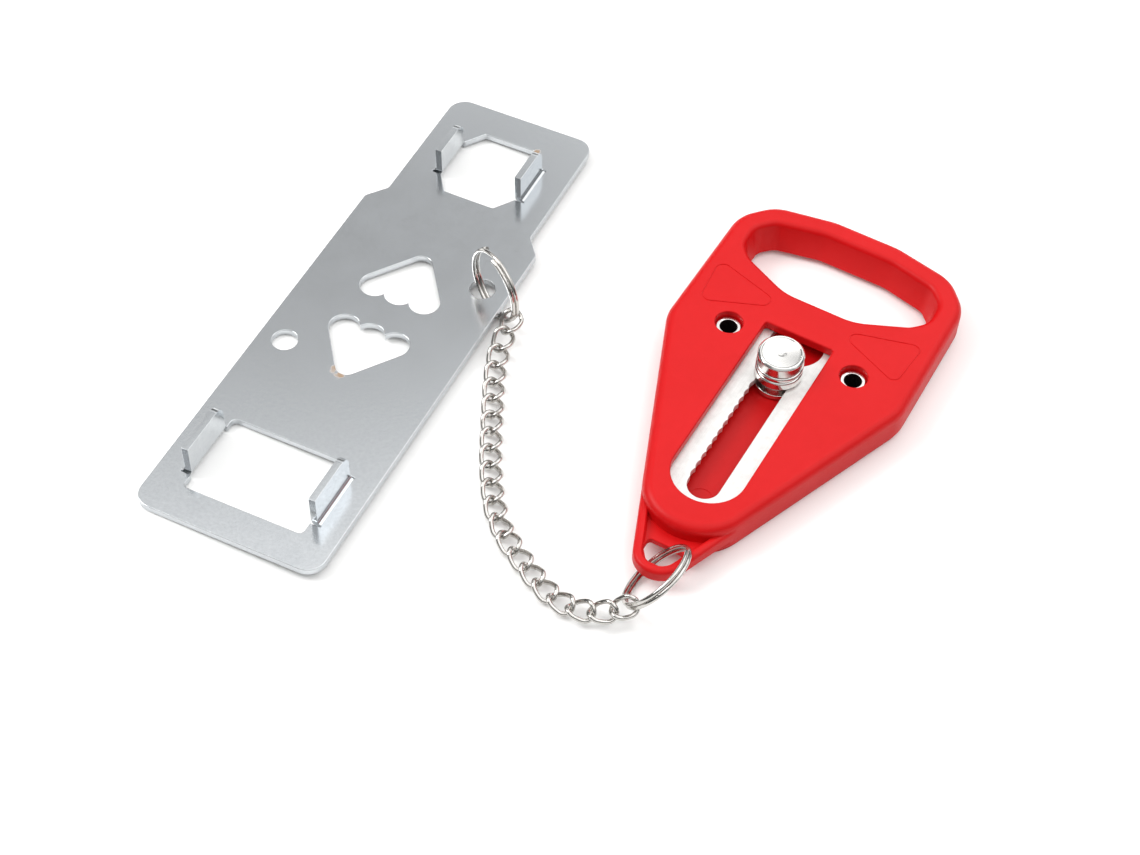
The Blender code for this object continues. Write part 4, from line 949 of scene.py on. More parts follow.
@dataclass
class StrikePlate(SubAssembly):
    """Stamped plate with two openings, two hearts, two round holes and four tabs bent up.

    A tab is its start and end along the plate, and its height.
    """

    length: float = 0.1320
    width: float = 0.0420
    narrow_width: float = 0.0350
    sheet: float = 0.0015
    rim: float = 0.00016
    corner: float = 0.0040
    shoulder: float = 0.0950
    shoulder_run: float = 0.0043
    shoulder_radius: float = 0.0015
    wide_ends: Point = (0.0075, 0.0270)
    wide_half: float = 0.0136
    wide_radius: float = 0.0012
    wide_tab: Corner = (0.0110, 0.0240, 0.0087)
    narrow_ends: Point = (0.1038, 0.1240)
    narrow_half: float = 0.0090
    narrow_end_half: float = 0.0060
    narrow_chamfer: float = 0.0042
    narrow_radius: float = 0.0004
    narrow_tab: Corner = (0.1086, 0.1191, 0.0080)
    bend_radius: float = 0.0008
    tab_corner: float = 0.0026
    relief: float = 0.0004
    tab_root: float = 0.0008
    hearts_middle: float = 0.065604
    hearts_gap: float = 0.0068
    heart_length: float = 0.0151
    lobe_pitch: float = 0.0059
    lobe_radius: float = 0.0033
    apex_radius: float = 0.0025
    hole_radius: float = 0.00275
    hole_side: float = 0.0151
    hole_along: float = 0.0156

    def outline(self) -> list[Point]:
        """Return the outer edge, with the shoulders where it narrows."""
        half, narrow, shoulder = self.width / 2.0, self.narrow_width / 2.0, self.shoulder_radius
        return rounded(mirrored([
            (half, 0.0, self.corner), (half, self.shoulder, shoulder),
            (narrow, self.shoulder + self.shoulder_run, shoulder), (narrow, self.length, self.corner)]))

    def with_tabs(self, near: list[Corner], far: list[Corner], tab: Corner) -> list[Point]:
        """Draw an opening whose sides step out by the bend of its tabs.

        Args:
            near: Corners on the right before the tab.
            far: Corners after it.
            tab: The tab.

        Returns:
            The outline.
        """
        half = far[0][0]
        bend = half + self.sheet + self.bend_radius
        start, end = tab[0] - self.relief, tab[1] + self.relief
        step_out = [(half, start, 0.0), (bend, start, 0.0), (bend, end, 0.0), (half, end, 0.0)]
        return rounded(mirrored(near + step_out + far))

    def wide_opening(self) -> list[Point]:
        """Return the rectangular opening of the wide end."""
        near, far = [[(self.wide_half, along, self.wide_radius)] for along in self.wide_ends]
        return self.with_tabs(near, far, self.wide_tab)

    def narrow_opening(self) -> list[Point]:
        """Draw the opening of the narrow end, with chamfered corners.

        Returns:
            The outline.
        """
        near, far = self.narrow_ends
        half, end_half, radius = self.narrow_half, self.narrow_end_half, self.narrow_radius
        return self.with_tabs(
            [(end_half, near, radius), (half, near + self.narrow_chamfer, radius)],
            [(half, far - self.narrow_chamfer, radius), (end_half, far, radius)], self.narrow_tab)

    def heart(self, way: float) -> list[Point]:
        """Draw a heart with three lobes, its apex turned away from the hearts' middle.

        Args:
            way: 1 for the farther heart, -1 for the nearer one.

        Returns:
            The outline.
        """
        lobe, apex, pitch = self.lobe_radius, self.apex_radius, self.lobe_pitch
        lobe_line = self.hearts_gap / 2.0 + lobe
        apex_line = self.hearts_gap / 2.0 + self.heart_length - apex
        slope = math.atan2(apex_line - lobe_line, pitch)
        lean = math.asin((lobe - apex) / math.hypot(apex_line - lobe_line, pitch))
        flank = math.degrees(math.pi / 2.0 - slope + lean)
        notch = math.degrees(math.acos(pitch / 2.0 / lobe))
        steps = 2 * CORNER_STEPS
        points = arc((pitch, lobe_line), lobe, notch - 180.0, flank, 2 * steps)
        points += arc((0.0, apex_line), apex, flank, 180.0 - flank, steps)
        points += arc((-pitch, lobe_line), lobe, 180.0 - flank, 360.0 - notch, 2 * steps)
        points += arc((0.0, lobe_line), lobe, notch - 180.0, -notch, steps)[1:-1]
        return [(way * x, way * y + self.hearts_middle) for x, y in points]

    def tab(self, name: str, hand: Hand, half: float, size: Corner) -> Object:
        """Make a tab bent up from the edge of an opening, its top corner rounded on the far side.

        Args:
            name: Name of the object.
            hand: Side of the opening.
            half: Half width of the opening.
            size: The tab.

        Returns:
            The tab with eased edges.
        """
        start, end, height = size
        sheet, bend, corner = self.sheet, self.bend_radius, self.tab_corner
        middle = (half + sheet + bend, sheet + bend)
        root = middle[0] + self.tab_root
        under, over = [arc(middle, radius, -90.0, -180.0, CORNER_STEPS) for radius in (bend + sheet, bend)]
        stations = [((root, 0.0), (root, sheet), end)]
        stations += [(low, high, end) for low, high in zip(under, over)]
        for far, z in arc((end - corner, height - corner), corner, 0.0, 90.0, CORNER_STEPS):
            stations.append(((half, z), (half + sheet, z), far))
        sections = []
        for low, high, far in stations:
            corners = ((low, start), (low, far), (high, far), (high, start))
            sections.append([Vector((hand.value * x, y, z)) for (x, z), y in corners])
        tab = loft(name, sections)
        bevel = tab.modifiers.new("eased edges", "BEVEL")
        bevel.width = self.rim
        bevel.segments = RIM_STEPS
        bevel.limit_method = "ANGLE"
        bevel.angle_limit = SMOOTH_ANGLE
        return bake(tab)

    def build(self) -> None:
        """Make the plate."""
        hearts = [self.heart(-1.0), self.heart(1.0)]
        outlines = [self.outline(), self.wide_opening(), self.narrow_opening(), *hearts]
        for way in (1.0, -1.0):
            hole = (way * self.hole_side, self.hearts_middle + way * self.hole_along)
            outlines.append(circle(hole, self.hole_radius))
        plate = flat_solid("plate_sheet", outlines, 0.0, self.sheet, self.rim)
        tabs = []
        for hand in Hand:
            tabs.append(self.tab(f"wide_tab_{hand.name}", hand, self.wide_half, self.wide_tab))
            tabs.append(self.tab(f"narrow_tab_{hand.name}", hand, self.narrow_half, self.narrow_tab))
        self.settle(combine(plate, tabs, Operation.JOIN), "strike_plate", sheet=True)


@dataclass(frozen=True)
class RingShape:
    """Sizes of a split ring, and where its coils lie."""

    azimuth: float
    lean: float
    hook: float
    ends: float
    radius: float = 0.00795
    wire: float = 0.00045
    packed_pitch: float = 0.00132
    seen_pitch: float = 0.00092
    turns: float = 1.9
    ground_gap: float = 0.00005
    hook_gap: float = 0.0003

    def axes(self) -> tuple[Vector, Vector, Vector]:
        """Find the directions of the ring's plane.

        Returns:
            Along its chord, up in its plane, and normal to it.
        """
        turn, tip = math.radians(self.azimuth), math.radians(self.lean)
        chord = Vector((math.cos(turn), math.sin(turn), 0.0))
        across = Vector((-math.sin(turn), math.cos(turn), 0.0))
        upward = UP * math.cos(tip) + across * math.sin(tip)
        return chord, upward, chord.cross(upward)

    def height(self) -> float:
        """Return the height of the ring's centre when its wire just clears the ground."""
        _, upward, normal = self.axes()
        return self.radius * upward.z + self.packed_pitch / 2.0 * abs(normal.z) + self.wire + self.ground_gap

    def spoke(self, clock: float) -> Vector:
        """Return the way from the centre to the wire at a clock angle."""
        chord, upward, _ = self.axes()
        return (chord * math.cos(math.radians(clock)) + upward * math.sin(math.radians(clock))) * self.radius

    def clock_at(self, height: float) -> float:
        """Return the clock angle on the chord's side at which the ring crosses a height."""
        return math.degrees(math.asin((height - self.height()) / (self.radius * self.axes()[1].z)))

    def reach(self, link_wire: float, overlap: float) -> float:
        """Return the distance from the middle of the coils to the hooking place of the link round them."""
        return self.packed_pitch / 2.0 + self.wire + link_wire + self.hook_gap - overlap / 2.0


@dataclass
class SplitRing(SubAssembly):
    """Two coils of polished wire; in the scene the coils lie close together, as drawn wire does."""

    shape: RingShape

    def build(self, half: str) -> None:
        """Make the ring about the Z axis of its place.

        Args:
            half: Name of the half of the lock that it is on.
        """
        shape = self.shape
        end = shape.seen_pitch * shape.turns / 2.0
        points = helix(shape.radius, shape.turns, round(shape.turns * ROUND_STEPS), shape.ends, (-end, end))
        ring = wire(f"close_ring_{half}", points, shape.wire - POLISH)
        self.settle(ring, f"split_ring_{half}")


@dataclass
class CurbChain:
    """Twisted links, each hooked into the one before it. A link has a heading, a climb and a roll."""

    start: Vector
    wire: float = 0.0005
    length: float = 0.00545
    width: float = 0.00395
    twist: float = 90.0
    gap: float = 0.0001
    links: tuple[Corner, ...] = (
        (-91, -21, 0), (-81, -13, 0), (-73, -6, 0), (-68, -3, 0), (-66, 0, 0), (-65, 0, 0), (-65, 0, 12),
        (-65, 0, 0), (-63, 0, 0), (-61, 0, 0), (-58, 0, 0), (-53, 0, 0), (-45, 0, -12), (-36, 0, 8),
        (-32, 0, 0), (-31, 0, 0), (-26, 0, 0), (-11, 4, 6), (6, 8, 12), (23, 12, 19), (40, 16, 25))

    def overlap(self) -> float:
        """Return the distance between the centres of two wires that hook each other."""
        return 2.0 * self.wire + self.gap

    def direction(self, index: int) -> Vector:
        """Return the direction that a link points in."""
        heading, climb = [math.radians(angle) for angle in self.links[index][:2]]
        return Vector((
            math.cos(heading) * math.cos(climb), math.sin(heading) * math.cos(climb), math.sin(climb)))

    def joints(self) -> list[Vector]:
        """Find the hooking places.

        Returns:
            The places, from the first ring's to the last link's far one.
        """
        places = [self.start]
        for index in range(len(self.links)):
            places.append(places[-1] + self.direction(index) * (self.length - self.overlap()))
        return places

    def path(self) -> list[Vector]:
        """Draw the centreline of a link.

        Returns:
            The points, with the hooking place at zero and the link along +X.
        """
        radius, half = self.width / 2.0, self.length / 2.0
        centre = (self.length - self.overlap()) / 2.0
        straight = [(half - radius) * share for share in (0.5, 0.0, -0.5)]
        flat = arc((half - radius, 0.0), radius, -90.0, 90.0, LINK_STEPS)
        flat += [(x, radius) for x in straight]
        flat += arc((radius - half, 0.0), radius, 90.0, 270.0, LINK_STEPS)
        flat += [(-x, -radius) for x in straight]
        points = []
        for x, y in flat:
            turn = math.radians(self.twist / 2.0) * x / half
            points.append(Vector((centre + x, y * math.cos(turn), y * math.sin(turn))))
        return points

    def frame_of(self, index: int, joint: Vector) -> Matrix:
        """Find the frame of a link.

        Args:
            index: Its place in the chain.
            joint: Where it hooks the piece before it.

        Returns:
            The frame, with its origin there and +X along the link.
        """
        along = self.direction(index)
        side = UP.cross(along).normalized()
        roll = Matrix.Rotation(math.radians(self.links[index][2]), 4, "X")
        return frame_at(joint, (along, side, along.cross(side))) @ roll

    def build(self, material: Material) -> None:
        """Make every link on its own body.

        Args:
            material: Material of the wire.
        """
        for index, joint in enumerate(self.joints()[:-1]):
            number = f"{index + 1:02d}"
            link = wire(f"curb_link_{number}", self.path(), self.wire - POLISH, cyclic=True)
            place = self.frame_of(index, joint)
            body = SubAssembly(place, f"link_{number}", Slot.CHAIN, material)
            body.settle(link, f"chain_link_{number}")


@dataclass(frozen=True)
class Rivets:
    """Sizes of the eyelets, which the housing and the cover both make room for."""

    side: float = 0.0143
    bore: float = 0.00185
    barrel: float = 0.00220
    flange_radius: float = 0.00260
    flange: float = 0.0004
    boss: float = 0.0042
    seat_radius: float = 0.00295
    seat_floor: float = 0.0065
    cover_seat: float = 0.0011


@dataclass(frozen=True)
class GripShape:
    """Outlines that the housing, the cover and the slot plate share, from the rivet line."""

    half: float = 0.0270
    widest: float = -0.0034
    side_radius: float = 0.0100
    tip_centre: float = -0.0575
    tip_radius: float = 0.0055
    shoulder: Point = (0.0267, 0.0295)
    brow: Point = (0.0209, 0.0360)
    crest: Point = (0.0075, 0.0387)
    brow_radius: float = 0.0090
    crest_radius: float = 0.0150
    body_tip_radius: float = 0.0116
    pocket_corner: float = 0.0020
    finger_near: float = 0.0140
    wall: float = 0.0022
    cover_rim_top: float = 0.0044
    keyhole_centre: float = 0.0035
    keyhole_radius: float = 0.00585
    slot_round: float = -0.03925
    window_round: float = -0.03725
    tangent_slip: float = 0.000001

    def taper(self) -> float:
        """Return the angle in radians between a tapering side and the centreline."""
        run = self.widest - self.tip_centre
        return math.atan2(self.half, run) - math.asin(self.tip_radius / math.hypot(self.half, run))

    def apex(self, inset: float = 0.0) -> float:
        """Return where the two tapering sides would meet on the centreline."""
        return self.tip_centre + (inset - self.tip_radius) / math.sin(self.taper())

    def side_along(self, half: float, inset: float = 0.0) -> float:
        """Return where a tapering side reaches a half width."""
        return self.apex(inset) + half / math.tan(self.taper())

    def body_tip(self) -> float:
        """Return the centre of the round end of the raised body."""
        return self.apex() + self.body_tip_radius / math.sin(self.taper())

    def body_corners(self) -> list[Corner]:
        """Return the corners of the raised body's edge."""
        return mirrored([
            (0.0, self.apex(), self.body_tip_radius, TIP_STEPS),
            (self.half, self.side_along(self.half), self.side_radius, 2 * CORNER_STEPS),
            (*self.shoulder, self.brow_radius), (*self.brow, self.brow_radius),
            (*self.crest, self.crest_radius)])

    def shell_corners(self, inset: float) -> list[Corner]:
        """Return the corners of the hollow, or of its cover, at an inset from the grip's sides."""
        half = self.half - inset
        return mirrored([
            (0.0, self.apex(inset), self.body_tip_radius - inset, TIP_STEPS),
            (half, self.side_along(half, inset), self.side_radius - inset),
            (half, self.finger_near - inset, self.pocket_corner)])

    def slot_corners(self, half: float, end: float, corner: float) -> list[Corner]:
        """Return the corners of a slot with one round end and one square end."""
        near = (half, self.window_round - half, half - self.tangent_slip, TIP_STEPS)
        return mirrored([near, (half, end, corner)])

    def keyhole(self, half: float) -> list[Point]:
        """Draw a slot that opens into a round hole at its far end.

        Args:
            half: Half width of the slot.

        Returns:
            The outline, without its straight left side.
        """
        swing = math.degrees(math.asin(half / self.keyhole_radius))
        eye = arc((0.0, self.keyhole_centre), self.keyhole_radius, swing - 90.0, 270.0 - swing, ROUND_STEPS)
        return arc((0.0, self.slot_round), half, 180.0, 360.0, TIP_STEPS) + eye


@dataclass
class Housing(SubAssembly):
    """Moulded grip: a raised body with a finger opening, a window and a lanyard loop."""

    shape: GripShape = GripShape()
    rivets: Rivets = Rivets()
    bottom: float = 0.0010
    top: float = 0.0085
    top_fillet: float = 0.0020
    bottom_fillet: float = 0.0008
    loop_heights: Point = (0.0030, 0.0060)
    loop_fillet: float = 0.0009
    loop_rail: float = 0.0019
    loop_floor: float = 0.0045
    loop_lip: float = 0.0005
    loop_side: float = 0.00002
    loop_root: float = 0.0002
    hole_ends: Point = (-0.0550, -0.0600)
    hole_half: float = 0.0038
    hole_radius: float = 0.0016
    finger: tuple[Corner, ...] = (
        (0.0080, 0.0140, 0.0120), (0.0186, 0.0189, 0.0045), (0.0215, 0.0220, 0.0045),
        (0.0215, 0.0275, 0.0045), (0.0182, 0.0310, 0.0045), (0.0078, 0.0334, 0.0120))
    finger_lips: Point = (0.0006, 0.0014)
    finger_draft: float = 0.0013
    window_half: float = 0.00775
    window_end: float = 0.0042
    window_corner: float = 0.0006
    window_lip: float = 0.0004
    triangle: tuple[Point, ...] = ((0.0239, 0.0150), (0.0055, 0.0096), (0.0227, 0.0020))
    triangle_radius: float = 0.0019
    triangle_line: float = 0.00035
    triangle_depth: float = 0.00012
    ceiling: float = 0.0065

    def loop(self) -> Object:
        """Make the lanyard loop, which runs on into the raised body.

        Returns:
            The loop.
        """
        shape, start = self.shape, self.shape.body_tip()
        half = (start - shape.apex()) * math.tan(shape.taper()) - self.loop_side
        corners = mirrored([
            (0.0, shape.apex(self.loop_side), shape.tip_radius - self.loop_side, TIP_STEPS),
            (half, start, self.loop_root)])
        return block("loop", corners, *self.loop_heights, self.bottom_fillet / 2.0, self.loop_fillet)

    def recess(self) -> Object:
        """Make the cutter of the shallow recess inside the loop's rails.

        Returns:
            The cutter, which leaves the raised body's round end alone.
        """
        shape, floor, top, edge = self.shape, self.loop_floor, self.loop_heights[1], self.loop_lip
        half = shape.half / 2.0
        corners = mirrored([
            (0.0, shape.apex(self.loop_rail), shape.tip_radius - self.loop_rail, TIP_STEPS),
            (half, shape.side_along(half, self.loop_rail), self.loop_rail)])
        levels = [(floor, edge / 2.0), (floor + edge / 2.0, 0.0)]
        blank = upright("loop_recess", corners, levels + lip(top, edge))
        tip, low, high = (0.0, shape.body_tip()), floor - OVERRUN, top + 2.0 * OVERRUN
        return combine(blank, [disc("loop_recess_end", tip, shape.body_tip_radius, low, high)])

    def loop_hole(self) -> Object:
        """Make the cutter of the loop's through hole.

        Returns:
            The cutter.
        """
        half, radius, edge = self.hole_half, self.hole_radius, self.loop_lip / 2.0
        near, far = self.hole_ends
        corners = mirrored([
            (half / 2.0, far, radius), (half, (near + far) / 2.0, radius / 2.0),
            (half, near, radius / 2.0)])
        return opening("loop_hole", corners, self.loop_heights[0], self.loop_floor, edge, edge)

    def groove(self, hand: Hand) -> Object:
        """Make the cutter of the thin line round a triangle beside the finger opening.

        Args:
            hand: Side of the triangle.

        Returns:
            The cutter.
        """
        corners = [(x * hand.value, y, self.triangle_radius) for x, y in self.triangle]
        corners = corners if hand is Hand.RIGHT else corners[::-1]
        outlines = [rounded(corners), rounded(corners, self.triangle_line)]
        floor = self.top - self.triangle_depth
        return flat_solid(f"triangle_{hand.name}", outlines, floor, self.top + OVERRUN)

    def seat(self, hand: Hand) -> list[Object]:
        """Make the cutters for a rivet.

        Args:
            hand: Side of the rivet.

        Returns:
            The bore, and the seat with an eased lip.
        """
        rivets, above, below = self.rivets, self.top + OVERRUN, self.shape.cover_rim_top
        side, radius, floor = hand.value * rivets.side, rivets.seat_radius, rivets.seat_floor
        bore = disc(f"rivet_bore_{hand.name}", (side, 0.0), rivets.barrel + METAL_GAP, below, above)
        edge = [(radius + inset, height) for height, inset in fillet(Face.UPPER, self.top, TOUCH_GAP)]
        profile = [(0.0, floor), (radius, floor), *edge, (radius + TOUCH_GAP, above), (0.0, above)]
        seat = turned(f"rivet_seat_{hand.name}", profile)
        seat.data.transform(Matrix.Translation((side, 0.0, 0.0)))
        return [bore, seat]

    def build(self) -> None:
        """Make the housing."""
        shape, rivets = self.shape, self.rivets
        bottom, top, ceiling = self.bottom, self.top, self.ceiling
        corners = shape.body_corners()
        housing = block("moulded_grip", corners, bottom, top, self.bottom_fillet, self.top_fillet)
        housing = combine(housing, [self.loop()], Operation.JOIN)
        window = shape.slot_corners(self.window_half, self.window_end, self.window_corner)
        housing = combine(housing, [
            opening("finger", mirrored(list(self.finger)), bottom, top, *self.finger_lips, self.finger_draft),
            flat_solid("pocket", [rounded(shape.shell_corners(shape.wall))], bottom - OVERRUN, ceiling),
            self.recess(), self.loop_hole(), opening("window", window, ceiling, top, 0.0, self.window_lip),
            self.groove(Hand.LEFT), self.groove(Hand.RIGHT)])
        low, high = shape.cover_rim_top + TOUCH_GAP, (ceiling + top) / 2.0
        bosses = [
            disc(f"rivet_boss_{hand.name}", (hand.value * rivets.side, 0.0), rivets.boss, low, high)
            for hand in Hand]
        housing = combine(housing, bosses, Operation.JOIN)
        housing = combine(housing, self.seat(Hand.LEFT) + self.seat(Hand.RIGHT))
        self.settle(housing, "grip_housing")


@dataclass
class BackCover(SubAssembly):
    """Tray that closes the grip from below and carries the knob's channel."""

    shape: GripShape = GripShape()
    rivets: Rivets = Rivets()
    flange_top: float = 0.0007
    flange_inset: float = 0.0006
    flange_rim: float = 0.00015
    rim: float = 0.0016
    rail: float = 0.0016
    rail_corner: float = 0.0004
    tray_floor: float = 0.0016
    channel_floor: float = 0.00305
    channel_half: float = 0.0054
    foot_radius: float = 0.0048
    mark_radius: float = 0.0024
    mark_depth: float = 0.00012
    mark_along: float = -0.0402

    def tray(self, hand: Hand) -> Object:
        """Make the cutter of the hollow beside the channel.

        Args:
            hand: Side of the hollow.

        Returns:
            The cutter.
        """
        shape, rim = self.shape, self.rim
        inset = shape.wall + TOUCH_GAP + rim
        inner, outer = self.foot_radius + 2.0 * TOUCH_GAP + self.rail, shape.half - inset
        end = shape.finger_near - inset
        corners = [
            (inner, shape.side_along(inner, inset), self.rail_corner),
            (outer, shape.side_along(outer, inset), rim), (outer, end, rim), (inner, end, rim)]
        if hand is Hand.LEFT:
            corners = [(-x, y, radius) for x, y, radius in reversed(corners)]
        above = shape.cover_rim_top + OVERRUN
        return flat_solid(f"tray_{hand.name}", [rounded(corners)], self.tray_floor, above)

    def build(self) -> None:
        """Make the cover."""
        shape, rivets, top = self.shape, self.rivets, self.shape.cover_rim_top
        above, floor = top + OVERRUN, self.channel_floor
        flange = rounded(shape.shell_corners(self.flange_inset))
        plug_edge = rounded(shape.shell_corners(shape.wall + TOUCH_GAP))
        cover = flat_solid("tray_cover", [flange], 0.0, self.flange_top, self.flange_rim)
        plug = flat_solid("cover_plug", [plug_edge], self.flange_top / 2.0, top)
        cover = combine(cover, [plug], Operation.JOIN)
        spot = (0.0, self.mark_along)
        mark = disc("ejector_mark", spot, self.mark_radius, floor - self.mark_depth, floor + OVERRUN)
        cover = combine(cover, [
            flat_solid("channel", [shape.keyhole(self.channel_half)], floor, above), mark,
            self.tray(Hand.LEFT), self.tray(Hand.RIGHT)])
        bosses = []
        bores = []
        for hand in Hand:
            place, side = (hand.value * rivets.side, 0.0), hand.name
            bosses.append(disc(f"cover_boss_{side}", place, rivets.boss, self.tray_floor / 2.0, top))
            bores.append(disc(f"cover_bore_{side}", place, rivets.barrel + METAL_GAP, -OVERRUN, above))
            bores.append(disc(f"cover_seat_{side}", place, rivets.seat_radius, -OVERRUN, rivets.cover_seat))
        cover = combine(combine(cover, bosses, Operation.JOIN), bores)
        self.settle(cover, "back_cover")


@dataclass
class SlotPlate(SubAssembly):
    """Steel plate under the window, with a keyhole slot that is scalloped along its left side."""

    shape: GripShape = GripShape()
    bottom: float = 0.0047
    top: float = 0.0062
    rim: float = 0.00010
    half: float = 0.0090
    end: float = 0.0113
    corner: float = 0.0010
    slot_half: float = 0.0034
    pitch: float = 0.0024
    depth: float = 0.00035
    count: int = 12
    first: float = -0.0098

    def keyhole(self) -> list[Point]:
        """Draw the keyhole slot with its scallops.

        Returns:
            The outline.
        """
        points = self.shape.keyhole(self.slot_half)
        chord = self.pitch / 2.0
        radius = (chord ** 2 + self.depth ** 2) / (2.0 * self.depth)
        swing = math.degrees(math.asin(chord / radius))
        for index in range(self.count):
            middle = (radius - self.depth - self.slot_half, self.first - self.pitch * (index + 0.5))
            bite = arc(middle, radius, 180.0 - swing, 180.0 + swing, CORNER_STEPS)
            points += bite if index == 0 else bite[1:]
        return points

    def build(self) -> None:
        """Make the plate."""
        outlines = [rounded(self.shape.slot_corners(self.half, self.end, self.corner)), self.keyhole()]
        plate = flat_solid("brushed_slot_plate", outlines, self.bottom, self.top, self.rim)
        self.settle(plate, "slot_plate", sheet=True)


@dataclass
class EyeletRivet(SubAssembly):
    """Eyelet that clamps the cover to the grip."""

    sizes: Rivets = Rivets()
    ease: float = 0.00016

    def build(self, hand: Hand) -> None:
        """Make one rivet about the Z axis of its place.

        Args:
            hand: Side of the grip that it is on.
        """
        sizes, side = self.sizes, hand.name.lower()
        flange, barrel, bore = sizes.flange_radius, sizes.barrel, sizes.bore
        high, low = sizes.seat_floor + METAL_GAP, sizes.cover_seat - METAL_GAP
        top, bottom = high + sizes.flange, low - sizes.flange
        rivet = turned(f"eyelet_{side}", [
            (bore, top), (flange, top), (flange, high), (barrel, high), (barrel, low), (flange, low),
            (flange, bottom), (bore, bottom)], closed=True, ease=self.ease)
        self.settle(rivet, f"eyelet_rivet_{side}")


@dataclass
class Knob:
    """Spool, washer and turned cap that slide in the slot together; the cap lifts from the spool."""

    place: Matrix
    bush: float = 0.00495
    bush_top: float = 0.0085
    neck: float = 0.00315
    foot: float = 0.0048
    foot_heights: Point = (0.0034, 0.0045)
    plate_top: float = 0.0062
    edge: float = 0.0003
    chamber: float = 0.0023
    chamber_top: float = 0.0071
    ledge: float = 0.0078
    washer_heights: Point = (0.0087, 0.0099)
    cap_radius: float = 0.0049
    cap_heights: Point = (0.0101, 0.0129)
    cap_edge: float = 0.00045
    dish: float = 0.0040
    dish_depth: float = 0.00035
    dimple: float = 0.0009
    dimple_depth: float = 0.00015
    boss: float = 0.0027
    boss_bottom: float = 0.0081
    stem: float = 0.0011
    stem_top: float = 0.0111
    ease: float = 0.00012
    spring_radius: float = 0.0017
    spring_wire: float = 0.000175
    spring_turns: int = 3
    spring_left: float = 0.37

    def spool(self) -> Object:
        """Make the spool, whose neck runs in the slot and whose bore holds the spring and the cap's boss.

        Returns:
            The spool.
        """
        bush, edge, top, clear = self.bush, self.edge, self.bush_top, self.plate_top + METAL_GAP
        sleeve, bore, chamber = self.boss + METAL_GAP, self.stem + METAL_GAP, self.chamber
        low, high = self.foot_heights
        return turned("turned_spool", [
            (sleeve, top), (bush - edge, top), (bush, top - edge), (bush, clear + edge), (bush - edge, clear),
            (self.neck, clear), (self.neck, high), (self.foot, high), (self.foot, low), (chamber, low),
            (chamber, self.chamber_top), (bore, self.chamber_top), (bore, self.ledge), (sleeve, self.ledge),
        ], closed=True, ease=self.ease)

    def washer(self) -> Object:
        """Make the washer between the spool and the cap.

        Returns:
            The washer.
        """
        bush, edge, sleeve = self.bush, self.edge, self.boss + METAL_GAP
        low, high = self.washer_heights
        return turned("turned_washer", [
            (sleeve, high), (bush - edge, high), (bush, high - edge), (bush, low + edge), (bush - edge, low),
            (sleeve, low)], closed=True, ease=self.ease)

    def cap(self) -> Object:
        """Make the cap, with a shallow dish on top and a boss below that takes the stem.

        Returns:
            The cap.
        """
        bottom, top = self.cap_heights
        rim, bore, hole_top = self.cap_radius, self.stem + METAL_GAP, self.stem_top + METAL_GAP
        dish = top - self.dish_depth
        centre = dish - self.dimple_depth
        shares = [step / CORNER_STEPS for step in range(2, CORNER_STEPS + 1)]
        hollow = [(self.dish * share, dish + self.dimple_depth * share ** 2) for share in shares]
        return turned("turned_cap", [
            (0.0, centre), (self.dimple / 2.0, centre), *hollow, (self.dish + self.dish_depth / 2.0, top),
            (rim - self.cap_edge, top), (rim, top - self.cap_edge), (rim, bottom + self.edge),
            (rim - self.edge, bottom), (self.boss, bottom), (self.boss, self.boss_bottom),
            (bore, self.boss_bottom), (bore, hole_top), (0.0, hole_top)], ease=self.ease)

    def spring(self, slider: SubAssembly) -> None:
        """Make the spring in its chamber.

        Args:
            slider: What carries it.
        """
        lower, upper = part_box("knob_spring")
        ends = (lower.z + self.spring_wire, upper.z - self.spring_wire)
        steps = self.spring_turns * ROUND_STEPS // 2
        points = helix(self.spring_radius, self.spring_turns, steps, 0.0, ends)
        coil = wire("wound_spring", points, self.spring_wire - POLISH)
        slider.settle(coil, "knob_spring")
        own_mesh(coil)

    def build(self, material: Material) -> None:
        """Make the turned pieces and the spring on their two bodies, and dress the stem and its collar.

        Args:
            material: Material of them all.
        """
        slider = SubAssembly(self.place, "knob_slider", Slot.KNOB, material)
        slider.settle(self.spool(), "guide_bush")
        slider.settle(self.washer(), "flange_washer")
        SubAssembly(self.place, "knob_cap", Slot.KNOB, material).settle(self.cap(), "knob_cap")
        self.spring(slider)
        for node in ("knob_stem", "stem_collar"):
            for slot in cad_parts[node].material_slots:
                slot.material = material


